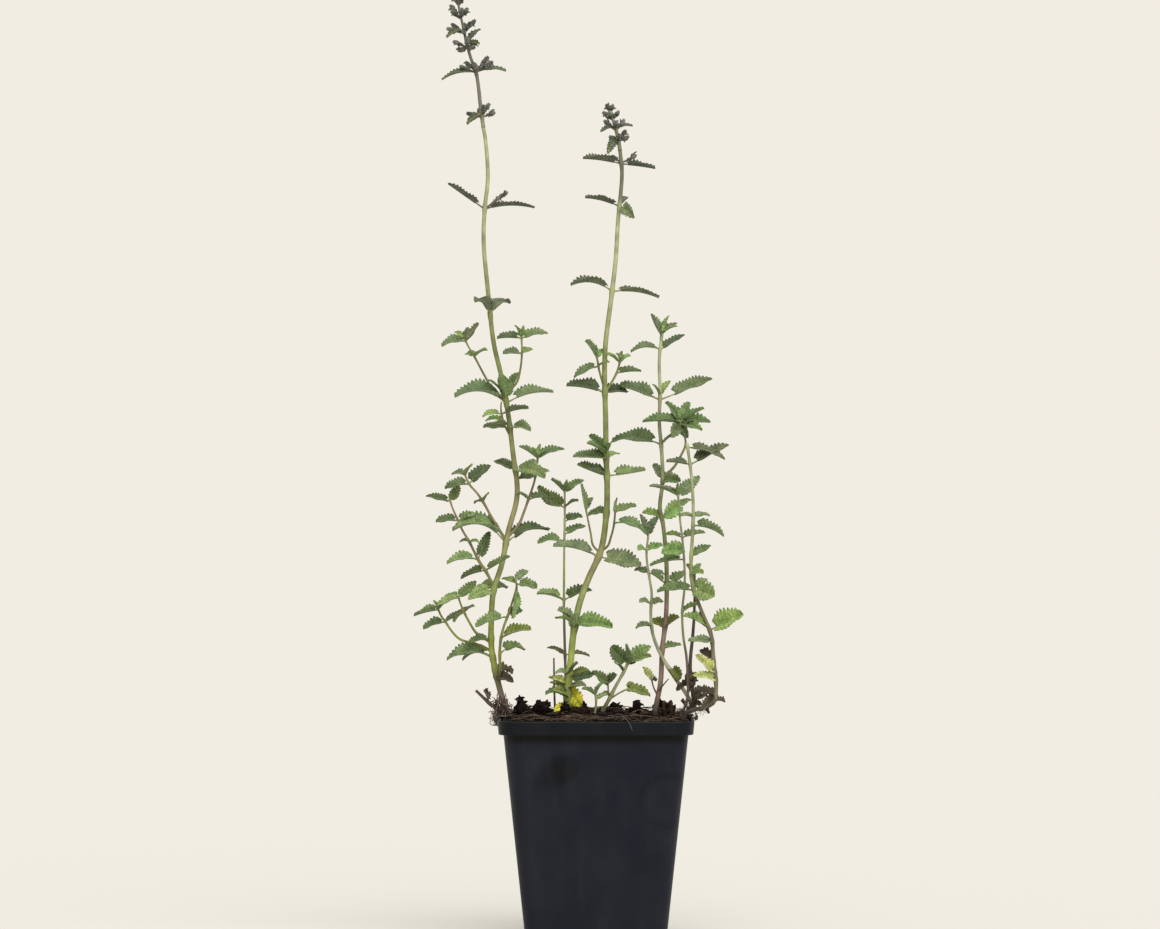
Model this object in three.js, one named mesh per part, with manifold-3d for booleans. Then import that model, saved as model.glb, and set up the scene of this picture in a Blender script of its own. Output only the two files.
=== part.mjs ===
// Catmint plant in a square nursery pot. Millimetres, +Z up, front towards -Y.
import * as THREE from "three";
import { mergeVertices } from "three/addons/utils/BufferGeometryUtils.js";
import Module from "manifold-3d";

const wasm = await Module();
wasm.setup();

// ---------------------------------------------------------------- driving dimensions

const POT = {
  height: 100,
  rimHalf: 45,
  rimLowHalf: 44.5,
  rimDepth: 6.3,
  bodyTopHalf: 42.3,
  baseHalf: 32.5,
  cornerTop: 9,
  cornerBase: 7,
  wall: 1.2,
  floor: 1.6,
  ledgeDrop: 5.1,
  drainRadius: 4.5,
  drainOffset: 20,
  cornerSegments: 3,
};
const SOIL = { gap: 0.3, edgeHeight: 99.6, crown: 2.6, bump: 0.7, rings: 5 };
const HOLE = { clearance: 0.35, depthBelowFoot: 0.4, top: 112 };

// The plant is drawn on a millimetre grid in the plane y = 0. Real size is a little larger,
// spread from the middle of the drawing.
const DRAWING = { middleX: -7.3, middleZ: 217, scale: 1.021 };
const SWAY = { from: 110, growth: 90, reach: 7, wave: 210, turn: 0.04 };
// How far the leaves reach in depth, as a share of the tables' numbers.
const SPREAD = { open: 2, crowded: 1.2, crowdedFrom: 20 };

const SPIKE_GAP = 0.3; // between a stem and the flower spike that carries on from it
const MAIN_STEP = 13; // mm between two sections of a main stem
const SHOOT_STEP = 10;
const BLADE_HALF_THICKNESS = 0.33;
const STALK_HALF_WIDTH = 0.5;
const CALYX_BELLY = 0.68; // where a calyx is widest, as a share of its length

// ---------------------------------------------------------------- solids and booleans

// A closed three.js geometry as a solid that can be joined and cut.
function toSolid(geometry) {
  const bare = geometry.clone();
  bare.deleteAttribute("normal");
  bare.deleteAttribute("uv");
  const merged = mergeVertices(bare, 1e-4);
  const kept = [];
  const index = merged.index.array;
  for (let i = 0; i < index.length; i += 3) {
    const [a, b, c] = [index[i], index[i + 1], index[i + 2]];
    if (a !== b && b !== c && a !== c) kept.push(a, b, c);
  }
  return new wasm.Manifold(
    new wasm.Mesh({
      numProp: 3,
      vertProperties: new Float32Array(merged.attributes.position.array),
      triVerts: new Uint32Array(kept),
    }),
  );
}

function toGeometry(solid) {
  const mesh = solid.getMesh();
  const geometry = new THREE.BufferGeometry();
  geometry.setAttribute("position", new THREE.BufferAttribute(mesh.vertProperties, 3));
  geometry.setIndex(new THREE.BufferAttribute(mesh.triVerts, 1));
  geometry.computeVertexNormals();
  return geometry;
}

// Joins the solids into one body, with any hollow between them filled.
function joinAll(solids) {
  const bodies = solids.reduce((sum, next) => sum.add(next)).decompose();
  return bodies.reduce((largest, body) => (body.volume() > largest.volume() ? body : largest));
}

function geometryFrom(points, triangles) {
  const geometry = new THREE.BufferGeometry();
  geometry.setAttribute(
    "position",
    new THREE.Float32BufferAttribute(points.flatMap((p) => [p.x, p.y, p.z]), 3),
  );
  geometry.setIndex(triangles.flat());
  return geometry;
}

// Repeatable random numbers from 0 to 1.
function seeded(seed) {
  let state = seed;
  return () => {
    state = (state * 1664525 + 1013904223) % 4294967296;
    return state / 4294967296;
  };
}

// ---------------------------------------------------------------- placing the drawing

// The photograph shows how the stems wave from side to side. They wave in depth as much, each
// stem out of step with the next, from just above the soil.
function sway(x, z) {
  const share = THREE.MathUtils.smoothstep(z, SWAY.from, SWAY.from + SWAY.growth);
  return SWAY.reach * share * Math.sin((2 * Math.PI * (z - SWAY.from)) / SWAY.wave + SWAY.turn * x);
}

function place([x, y, z]) {
  return new THREE.Vector3(
    DRAWING.middleX + (x - DRAWING.middleX) * DRAWING.scale,
    y + sway(x, z),
    DRAWING.middleZ + (z - DRAWING.middleZ) * DRAWING.scale,
  );
}

const UP = new THREE.Vector3(0, 0, 1);
const FRONT = new THREE.Vector3(0, -1, 0);

function perpendicular(vector, axis) {
  return vector.clone().addScaledVector(axis, -vector.dot(axis)).normalize();
}

// The point of a polyline at a given height, the first time that the line reaches it.
function pointAtHeight(line, z) {
  for (let i = 1; i < line.length; i++) {
    const [low, high] = [line[i - 1], line[i]];
    if (z <= high.z || i === line.length - 1) {
      const share = THREE.MathUtils.clamp((z - low.z) / (high.z - low.z), 0, 1);
      return low.clone().lerp(high, share);
    }
  }
}

// ---------------------------------------------------------------- stems

// Mint stems are square: a four-sided cylinder, bent along its path and tapered.
// A straight foot (the first two points) is kept straight, because it stands in a hole.
function curveLine(points, step) {
  const curve = new THREE.CatmullRomCurve3(points);
  return curve.getSpacedPoints(Math.max(1, Math.round(curve.getLength() / step)));
}

function stemLine(path) {
  const [foot, ...rest] = path.map(place);
  return [foot, ...curveLine(rest, MAIN_STEP)];
}

const shootLine = (path) => curveLine(path.map(place), SHOOT_STEP);

function squareStem(line, lowWidth, highWidth) {
  const tube = new THREE.CylinderGeometry(1, 1, 1, 4, line.length - 1);
  tube.rotateY(Math.PI / 4);
  const position = tube.attributes.position;
  for (let i = 0; i < position.count; i++) {
    const share = position.getY(i) + 0.5;
    const k = Math.round(share * (line.length - 1));
    const before = line[Math.max(0, k - 1)];
    const after = line[Math.min(line.length - 1, k + 1)];
    const tangent = after.clone().sub(before).normalize();
    const depth = perpendicular(new THREE.Vector3(0, 1, 0), tangent);
    const across = depth.clone().cross(tangent);
    const halfWidth = THREE.MathUtils.lerp(lowWidth, highWidth, share) / Math.SQRT2;
    const [u, v] = [position.getX(i), position.getZ(i)];
    const point = line[k]
      .clone()
      .addScaledVector(across, u * halfWidth)
      .addScaledVector(depth, -v * halfWidth);
    position.setXYZ(i, point.x, point.y, point.z);
  }
  return toSolid(tube);
}

// ---------------------------------------------------------------- leaves

// One side of the margin as [share of the blade's length, share of its half width]:
// a heart-shaped foot and rounded teeth, fewer on a shorter blade.
const MARGINS = [
  {
    over: 17,
    stalked: true,
    edge: [[-0.03, 0.62], [0.16, 1], [0.3, 0.8], [0.46, 0.94], [0.6, 0.6], [0.76, 0.56]],
  },
  { over: 11.3, stalked: true, edge: [[-0.02, 0.66], [0.22, 1], [0.4, 0.74], [0.6, 0.76]] },
  { over: 9, stalked: false, edge: [[0.2, 0.86], [0.42, 0.78], [0.62, 0.86]] },
  { over: 0, stalked: false, edge: [[0.3, 0.95], [0.62, 0.8]] },
];
const MATURE_WIDTH = 4.2; // narrower blades are young, and less folded
const MATURE_FOLD = 0.5; // both halves fold upwards, so that the teeth stand along the top
const YOUNG_FOLD = 0.3;
const SAG = 0.17; // how far a mature midrib sinks under its folded halves, as a share of the width

// A thin blade on its stalk: margin and midrib bent alike, both faces split alike.
function leafSolid(root, tip, width, roll, arch, stalk) {
  const reach = tip.clone().sub(root);
  const length = reach.length();
  const along = reach.clone().divideScalar(length);
  const upright = perpendicular(Math.abs(along.z) > 0.97 ? FRONT : UP, along);
  const facing = along.clone().cross(upright);
  if (facing.dot(FRONT) < 0) facing.negate();
  const turn = THREE.MathUtils.degToRad(roll);
  const face = upright.clone().multiplyScalar(Math.cos(turn)).addScaledVector(facing, Math.sin(turn));
  const side = face.clone().cross(along);
  const mature = width > MATURE_WIDTH;
  const fold = mature ? MATURE_FOLD : YOUNG_FOLD;
  const rise = mature ? arch - (SAG * Math.cos(turn) * width) / length : arch;

  const { stalked, edge } = MARGINS.find(({ over }) => length * (1 - stalk) > over);
  const bladePart = (share) => stalk + share * (1 - stalk);
  const margin = edge.map(([share, wide]) => [bladePart(share), (wide * width) / 2]);
  if (stalked) margin.unshift([stalk * 0.9, STALK_HALF_WIDTH]);

  const spine = (t) =>
    root.clone().addScaledVector(reach, t).addScaledVector(upright, rise * length * 4 * t * (1 - t));
  const normalAt = (t) => face.clone().addScaledVector(along, -rise * 4 * (1 - 2 * t)).normalize();
  const points = [root.clone()];
  const triangles = [];
  const add = (t, wide, level) => {
    const lift = fold * Math.max(0, Math.abs(wide) - STALK_HALF_WIDTH) + level * BLADE_HALF_THICKNESS;
    points.push(spine(t).addScaledVector(side, wide).addScaledVector(normalAt(t), lift));
    return points.length - 1;
  };
  // Each face is a fan round a point of the midrib, and both faces meet in the root.
  const faces = [1, -1].map((level) => {
    const tip = add(1, 0, level);
    const middle = add(bladePart(0.45), 0, level);
    const [left, right] = [1, -1].map((hand) => [
      ...margin.map(([t, wide]) => add(t, hand * wide, level)),
      tip,
    ]);
    const turned = (a, b, c) => triangles.push(level > 0 ? [a, b, c] : [b, a, c]);
    turned(0, right[0], left[0]);
    turned(middle, left[0], right[0]);
    for (let i = 0; i < left.length - 1; i++) {
      turned(middle, left[i + 1], left[i]);
      turned(middle, right[i], right[i + 1]);
    }
    return { left, right };
  });
  const [top, bottom] = faces;
  triangles.push([0, top.left[0], bottom.left[0]], [0, bottom.right[0], top.right[0]]);
  for (let i = 0; i < top.left.length - 1; i++) {
    triangles.push([top.left[i], top.left[i + 1], bottom.left[i]]);
    triangles.push([top.left[i + 1], bottom.left[i + 1], bottom.left[i]]);
    triangles.push([top.right[i + 1], top.right[i], bottom.right[i]]);
    triangles.push([top.right[i + 1], bottom.right[i], bottom.right[i + 1]]);
  }
  return toSolid(geometryFrom(points, triangles));
}

// A flower's calyx, or a bud: a slim four-sided spindle, widest above its middle.
function calyxSolid(root, mouth, width) {
  const spindle = new THREE.OctahedronGeometry(1);
  const position = spindle.attributes.position;
  const axis = mouth.clone().sub(root);
  const turn = new THREE.Quaternion().setFromUnitVectors(UP, axis.clone().normalize());
  for (let i = 0; i < position.count; i++) {
    const z = position.getZ(i);
    const share = z > 0.5 ? 1 : z < -0.5 ? 0 : CALYX_BELLY;
    const point = new THREE.Vector3(position.getX(i), position.getY(i), 0)
      .multiplyScalar(width / 2)
      .applyQuaternion(turn)
      .add(root)
      .addScaledVector(axis, share);
    position.setXYZ(i, point.x, point.y, point.z);
  }
  return toSolid(spindle);
}

const ROLL = 30; // degrees by which most blades lean towards the front
const ARCH = 0.1; // rise of a blade's middle, as a share of the leaf's length
const STALK = 0.17; // the stalk, as a share of the leaf's length

// Leaf rows are [height of the node, tip x, tip y from the stem, tip z, width, roll, arch, stalk].
function leavesOn(line, rows) {
  return rows.map(([at, x, depth, z, width, roll = ROLL, arch = ARCH, stalk = STALK]) => {
    const root = pointAtHeight(line, place([0, 0, at]).z);
    const tip = place([x, 0, z]);
    tip.y = root.y + depth * (x < SPREAD.crowdedFrom ? SPREAD.open : SPREAD.crowded);
    return leafSolid(root, tip, width, roll, arch, stalk);
  });
}

// Bud rows are [height of the node, mouth x, mouth y from the stem, mouth z, width].
function budsOn(line, rows) {
  return rows.map(([at, x, depth, z, width]) => {
    const root = pointAtHeight(line, place([0, 0, at]).z);
    const mouth = place([x, 0, z]);
    mouth.y = root.y + depth;
    return calyxSolid(root, mouth, width);
  });
}

function piecesAlong(line, { widths, leaves = [], buds = [], shoots = [] }) {
  return [
    squareStem(line, ...widths),
    ...leavesOn(line, leaves),
    ...budsOn(line, buds),
    ...shoots.flatMap((shoot) => piecesAlong(shootLine(shoot.path), shoot)),
  ];
}

const leafyStem = (stem) => joinAll(piecesAlong(stemLine(stem.path), stem));
const flowerSpike = (spike) => joinAll(piecesAlong(shootLine(spike.path), spike));

// The plain hole that a stem's foot stands in.
function footHole({ path, widths }) {
  const [foot, ground] = path.slice(0, 2).map(place);
  const direction = ground.clone().sub(foot).normalize();
  const low = foot.clone().addScaledVector(direction, -HOLE.depthBelowFoot);
  const high = foot.clone().addScaledVector(direction, (HOLE.top - foot.z) / direction.z);
  const width = widths[0] + 2 * HOLE.clearance;
  return squareStem([low, high], width, width);
}

// ---------------------------------------------------------------- the stems as grown

const STEM_LEFT = {
  path: [
    [-37.2, 2, 93], [-41.3, 2, 105.5], [-43, 1.6, 112], [-45.5, 1, 122], [-47.5, 0.6, 134],
    [-47.5, 0, 148], [-46.5, -0.5, 160], [-43, -1, 171], [-39.8, -1.5, 187], [-36.3, -2, 200],
    [-35.9, -2, 207], [-37.8, -1.8, 222], [-40, -1, 240], [-43.3, 0, 258], [-46.5, 1, 272],
    [-49, 1.6, 295], [-51, 2.4, 318], [-50.5, 2.8, 333], [-49.1, 3, 347], [-50.3, 2.6, 365],
    [-51.2, 2.5, 370],
  ],
  widths: [2.8, 2.0],
  leaves: [
    [333, -67, -4, 344, 6.5, 35, 0.04, 0.25],
    [333, -28, 5, 334, 6.5, 25, 0.1, 0.15],
    [285, -54.5, -12, 290, 7, 10, 0.15, 0.15],
    [285, -39.5, 12, 291, 7, 10, 0.15, 0.15],
    [245, -64, -5, 247.5, 9, 30, 0.22, 0.2],
    [245, -19.5, 4, 250, 8, 25, 0.14, 0.25],
    [247, -42.5, -10, 257.5, 7, 10, 0.05, 0.1],
    [247, -49, -3, 255.5, 3.5],
    [247, -35.5, 4, 259, 4],
    [234, -51.5, 7, 234.3, 6, 35, 0.05, 0.2],
    [234, -29.5, -7, 232.3, 6, 35, 0.1, 0.2],
    [214.5, -46.5, 9, 218.5, 5, 30, 0.05, 0.15],
    [214.5, -23, -6, 211, 8, 40, 0.15, 0.12],
    [181, -65, -5, 187, 10, 30, 0.28, 0.22],
    [181, -21.5, 4, 187, 8.5, 30, 0.2, 0.25],
    [160, -57.5, -8, 156, 7, 45, 0.1, 0.2],
    [160, -53, 8, 161.5, 5],
    [160, -41, 9, 160.5, 5],
    [138, -57.5, -4, 136.5, 5, 30, 0.1, 0.2],
    [129, -67.5, -5, 128.5, 8, 40, 0.2, 0.3],
    [129, -61, 8, 127.5, 6, 30, 0.2, 0.3],
    [121, -37.3, -3, 118.6, 4.6, 60],
    [124, -38, 3, 121.6, 4],
  ],
  buds: [[333, -40, -3, 340.5, 1.8], [333, -42, 3, 340, 1.8]],
  shoots: [
    {
      path: [[-41.6, -0.5, 249], [-36.3, 1.5, 254], [-34.5, 3, 260], [-33.7, 4, 268], [-34, 5, 276]],
      widths: [1.4, 1],
      leaves: [
        [267.5, -42.3, -3, 267.3, 4.5],
        [267.5, -29, 3, 269.5, 3.5],
        [274.5, -45, -3, 274.2, 5, 30, 0.1, 0.2],
        [274.5, -22, 3, 276.8, 6, 30, 0.12, 0.15],
      ],
      buds: [[275, -37, 0, 280.5, 2], [275, -32.8, -2, 279.5, 2]],
    },
    {
      path: [
        [-42, -0.3, 246.5], [-47.5, -2, 252], [-51, -3.5, 258], [-55, -4.5, 265.5],
        [-58.5, -5, 271.5], [-59.5, -5, 274],
      ],
      widths: [1.5, 1],
      leaves: [
        [266, -59.5, 5, 267.2, 3.5],
        [266, -49.3, -4, 268.8, 4],
        [273, -70, -3, 270.5, 6, 35, 0.15, 0.15],
        [273, -53.5, 3, 281.5, 5, 30, 0, 0.1],
        [273, -64.5, 4, 277.5, 3],
        [273, -58, -4, 279, 3.5],
      ],
    },
    {
      path: [[-39, -1.5, 229.5], [-42, -5, 236], [-43.2, -6.5, 242], [-43, -7, 245.5]],
      widths: [1.1, 0.9],
      leaves: [
        [240, -51.5, -3, 238.5, 4],
        [237, -50.5, 3, 236.8, 3.5],
        [240, -30.5, -3, 242.5, 5],
      ],
    },
    {
      path: [
        [-41, -1.3, 182.5], [-45, -3, 189], [-48, -4.5, 194], [-51, -5.5, 199.5], [-54, -6.5, 204],
        [-57.5, -7, 208], [-60, -7.5, 213.5],
      ],
      widths: [1.7, 1.1],
      leaves: [
        [200, -55.5, 5, 199.2, 3],
        [200, -48.5, -4, 204, 3],
        [208.3, -68.5, -3, 206, 5.5, 35, 0.1, 0.15],
        [208.3, -48, 3, 216.5, 6, 40, 0.1, 0.15],
        [212, -65.5, 3, 212.6, 4],
        [212, -56, -3, 217, 4],
      ],
    },
    {
      path: [
        [-40.5, -1.4, 183.5], [-35, 0.5, 190], [-33, 1.5, 195], [-31, 2.5, 200.5],
        [-28.2, 3.5, 209], [-27.4, 4, 213], [-26.5, 4, 221],
      ],
      widths: [1.7, 1.1],
      leaves: [
        [201, -36.5, -4, 204, 3.5],
        [201, -20, 3, 200.5, 5, 25, 0.18, 0.15],
        [212, -35, -3, 210.5, 5, 45, 0.1, 0.1],
        [212, -21.5, 4, 214, 4],
        [220, -35, -3, 225.3, 5, 35, 0.1, 0.1],
        [220, -14.5, 3, 224, 5.5, 30, 0.12, 0.1],
        [218, -30, -5, 216.8, 3],
      ],
      buds: [[220, -25.3, 0, 226.5, 2.2]],
    },
    {
      path: [
        [-46.3, -0.6, 161.5], [-50, -2, 168.5], [-53, -3, 173], [-57.5, -4, 182], [-60.5, -4.5, 187],
        [-62.5, -5, 191.5], [-65, -5, 197], [-66.5, -5, 201.5],
      ],
      widths: [1.7, 1.1],
      leaves: [
        [169, -61.5, 4, 165, 5],
        [169, -39, -3, 175.5, 5, 35, 0.05, 0.15],
        [174, -67.5, -3, 172, 6, 35, 0.15, 0.2],
        [174, -48.5, 3, 186.5, 5, 50, 0.05, 0.15],
        [182, -62, 3, 181.8, 2.5],
        [182, -52.8, -3, 181.5, 2.5],
        [191.7, -72.5, -3, 191, 5, 35, 0.1, 0.15],
        [191.7, -53.3, 3, 194, 5, 30, 0.1, 0.15],
        [200.5, -77, -3, 202.7, 4.5, 50, 0.05, 0.15],
        [200.5, -62.5, 3, 207.5, 4.5, 45, 0.05, 0.1],
      ],
    },
    {
      path: [
        [-44.5, 1.3, 117.5], [-43.6, -2.5, 124], [-43.7, -4, 130], [-43.3, -4.5, 137],
        [-42, -4.5, 143], [-40, -4, 148.5], [-37.6, -3.5, 156], [-36, -3.5, 162], [-37, -3.5, 165.5],
      ],
      widths: [1.8, 1.1],
      leaves: [
        [131, -32.5, 4, 132.5, 6, 30, 0.25, 0.25],
        [138.5, -29.3, -3, 142.5, 6.5, 35, 0.12, 0.15],
        [148, -54.5, -4, 143.7, 5.5, 35, 0.1, 0.2],
        [149, -34, 3, 151, 5, 50, 0.1, 0.1],
        [163, -42.8, 3, 165, 4],
        [163, -26.7, -2, 161, 6, 30, 0.1, 0.15],
        [164, -31, 3, 168.5, 4],
        [160.5, -38, -5, 147.5, 5.5, 80, 0, 0.1],
      ],
    },
    {
      path: [
        [-47.6, 0.6, 136], [-51.5, -1, 138.5], [-54.5, -2, 140.7], [-57.5, -2.5, 145.5],
        [-59.8, -3, 150], [-62, -3, 155.5], [-62.5, -3, 158],
      ],
      widths: [1.6, 1.1],
      leaves: [
        [150, -64.5, 4, 145.3, 4],
        [150, -55, -3, 153, 3],
        [157, -72, -2, 153, 4.5, 30, 0.1, 0.1],
        [157, -70, 5, 155.5, 4],
        [157, -54.5, 3, 164, 5, 40, 0, 0.1],
      ],
    },
    {
      path: [
        [-47.5, 0.7, 132], [-51, 2, 134], [-55, 3, 135.5], [-62, 5, 137.5], [-66, 6, 141.5],
        [-68.3, 6.5, 145], [-70.5, 7, 148], [-72, 7, 151.5],
      ],
      widths: [1.6, 1.1],
      leaves: [
        [145.5, -78.5, -3, 142.3, 5, 30, 0.1, 0.15],
        [145.5, -58, 3, 152, 3.5, 20, 0, 0.1],
        [151, -83, 3, 148, 6, 30, 0.1, 0.15],
        [151, -67.5, -3, 154.5, 3.5],
      ],
      buds: [[151, -74, -1, 155, 2]],
    },
  ],
};

const STEM_MIDDLE = {
  path: [
    [-13.4, -4, 93], [-13, -4, 105.5], [-12.8, -4, 116], [-11.5, -4.3, 128], [-10.3, -4.6, 140],
    [-7.5, -5, 154], [-3.5, -5, 165], [2.2, -5, 178], [4.7, -5, 195], [5, -5, 207],
    [4.5, -4.8, 222], [4.3, -4.5, 238], [3.8, -4.2, 258], [4.3, -4, 272], [6.8, -3.6, 292],
    [8.9, -3.4, 310], [10, -3.2, 328], [11.2, -3, 340], [11.8, -3, 350], [10.9, -3, 360],
  ],
  widths: [3.3, 2],
  leaves: [
    [354, -6, -3, 356, 7, 30, 0.08, 0.2],
    [354, 27, 3, 352, 7.5, 30, 0.08, 0.2],
    [334.5, -5, -4, 338, 7, 30, 0.1, 0.2],
    [334.5, 17.5, -5, 328.8, 5.5, 70, 0.1, 0.25],
    [334.5, 14.5, 6, 339, 4],
    [295.5, -11.5, -3, 298, 7.5, 30, 0.2, 0.2],
    [295.5, 28.5, 3, 292.7, 8, 30, 0.12, 0.2],
    [249.5, -13.5, -3, 252.5, 7.5, 35, 0.1, 0.2],
    [249.5, 14.3, 5, 249.8, 6.5, 35, 0.1, 0.15],
    [212, -8.5, -4, 217, 7.5, 30, 0.05, 0.15],
    [212, 22.5, 4, 214.5, 7.5, 25, 0.05, 0.25],
    [220, -10.5, -6, 220.5, 6, 40, 0.05, 0.1],
    [221, -4, -8, 226.5, 5, 20],
    [222, -3, 4, 230.3, 5],
    [222, 6.5, -8, 226.5, 5, 20],
    [220, 10.5, 5, 221.8, 3.5],
    [195, -3.5, 5, 193.8, 5, 40],
    [175, -19.5, -4, 180, 8, 35, 0.12, 0.2],
    [175, 20.5, -2, 171, 9.5, 45, 0.08, 0.2],
    [144.5, -18.5, 4, 147, 4, 25],
    [146, -17.5, -3, 151.3, 6, 35],
    [144.5, 7.5, -3, 143.3, 8, 45, 0.1, 0.12],
    [143, -9, -8, 150.3, 5, 20, 0, 0.1],
    [120, -3.2, -4, 124, 4, 45],
    [121, -8.2, -5, 127.3, 4, 45],
    [115.5, -4.5, -5, 117, 4, 40],
    [110, -23, -3, 113, 4.5, 35, 0.25, 0.3],
    [113, -21, 2, 118, 3.5],
    [113, -21.5, -3, 120.8, 4, 45],
    [116, -6.8, -5, 107.4, 7.5, 85, 0, 0.12],
    [117, -20, -3, 120.3, 3.5, 60, 0.1, 0.3],
    [112, -19.5, -6, 115, 5, 60, 0.1, 0.1],
    [122, -18.5, -3, 122.5, 3.5, 40],
    [119, -1, 3, 121.5, 5, 50, 0.05, 0.2],
    [107.5, -19, -4, 105.4, 4, 60],
  ],
  buds: [[354.5, 18.5, 2, 358, 2], [354.5, 7, -2, 357.5, 2]],
  shoots: [
    {
      path: [[3.9, -4.3, 251], [1.4, -5, 259.5], [0.3, -5.5, 266]],
      widths: [1.4, 1],
      leaves: [
        [261.5, -10, -2, 256, 5, 35, 0.12, 0.15],
        [261.5, 6, -4, 263, 2.5],
        [265, -5, -3, 272.8, 5, 50],
        [265, 4, 2, 269, 3],
      ],
    },
    {
      path: [[4, -4.4, 249.5], [7.5, -3.5, 255], [9.5, -3, 259], [11, -3, 264.5]],
      widths: [1.4, 1],
      leaves: [
        [258.5, 20.5, 2, 259.3, 5, 30, 0.1, 0.15],
        [263, 4.5, -3, 266.8, 3.5],
        [263, 15.5, -2, 266.2, 4],
      ],
      buds: [[264, 11.8, 0, 268.5, 2]],
    },
    {
      path: [[1.5, -5, 177], [-1.5, -7, 180.5], [-2.3, -8, 185], [-3.5, -8.5, 191], [-4.8, -9, 197.5]],
      widths: [1.3, 1],
      leaves: [
        [197, -6.8, -2.5, 208.3, 5, 75, 0, 0.05],
        [196.5, -1.5, 2, 202, 3],
      ],
    },
    {
      path: [[2, -5, 177.5], [5.3, -6, 180], [6.7, -7, 184], [8, -7.5, 189], [8.7, -8, 196.5]],
      widths: [1.4, 1],
      leaves: [
        [190.5, 22.3, -4, 185.5, 6.5, 35, 0.2, 0.15],
        [195.5, 18.3, 2, 198.3, 5, 30, 0.1, 0.1],
        [195, 9.5, -2, 202, 3, 60],
      ],
    },
  ],
};

const STEM_THIN = {
  path: [
    [-13, 10, 93], [-13.5, 10, 105.5], [-14, 10, 125], [-14.6, 10, 150], [-14.6, 10, 165],
    [-14.5, 10, 180], [-14.3, 10, 192], [-14.3, 10, 205.5],
  ],
  widths: [1.4, 1],
  leaves: [
    [204.5, -20.5, -3, 210.3, 4.5],
    [204.5, -5.5, 3, 209.8, 5, 30, 0.1, 0.1],
    [197.5, -26.7, 4, 207, 7, 50, -0.05, 0.1],
    [197.5, -8, -3, 200.5, 4],
    [191, -6.2, 4, 193, 4.5],
    [185, -4.7, 3, 188.7, 4.5],
    [182, -26.7, -3, 181, 5.5, 35, 0.15, 0.2],
    [155, -27, -3, 158, 7, 30, 0.15, 0.2],
    [155, -2, 4, 159.2, 6.5, 30, 0.12, 0.2],
    [130, -22.5, 3, 133.2, 2.6],
    [130, -2.8, 2, 129.3, 2.8, 30, 0.1, 0.3],
  ],
  buds: [[204.5, -13.4, -2, 209.8, 2]],
};

const SHOOT_FRONT = {
  path: [[-0.8, -17, 94], [-0.5, -17, 105.5], [0, -17, 110], [-0.5, -17, 114.5]],
  widths: [1.3, 1],
  leaves: [
    [113, -6.5, -2, 116, 3.5, 40],
    [113, 2.9, -1, 118.5, 3, 50],
    [111, 5.4, 2, 113, 2.6, 40],
  ],
};

const SHOOT_LOW = {
  path: [
    [1, -9, 93], [2.9, -9, 105.5], [6, -9.5, 111], [8.5, -10, 116], [11, -10, 120.5],
    [13.2, -10, 124.5], [14.4, -10, 127.5],
  ],
  widths: [2.2, 1.4],
  leaves: [
    [127, 6.9, 2, 134.8, 7, 60, 0, 0.12],
    [127, 13.4, -4, 136.2, 5, 60, 0, 0.1],
    [127, 24.8, 2, 134.6, 6.5, 55, 0.1, 0.1],
    [126.5, 25, -4, 130.4, 6.5, 45, 0.1, 0.1],
    [123, 8.5, -4, 127.5, 2.5],
    [112.5, 3, -1.2, 113.6, 2.5],
  ],
  shoots: [
    {
      path: [[6.2, -9.6, 110.8], [5.5, -10.5, 114.5], [5.4, -11, 118.6]],
      widths: [1.1, 0.9],
      leaves: [[118.2, -2, -2, 123.6, 6.5, 60, 0, 0.05], [118.2, 9.3, -2, 122.4, 5.5, 60, 0, 0.05]],
    },
    {
      path: [[6.4, -9.6, 111], [10.5, -10.5, 113.7], [14.8, -11, 115.8]],
      widths: [1, 0.8],
      leaves: [[115.5, 24.5, -1, 112.2, 6, 45, 0.12, 0.06], [115.5, 16.6, 2, 118.4, 2.5]],
    },
  ],
};

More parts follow.
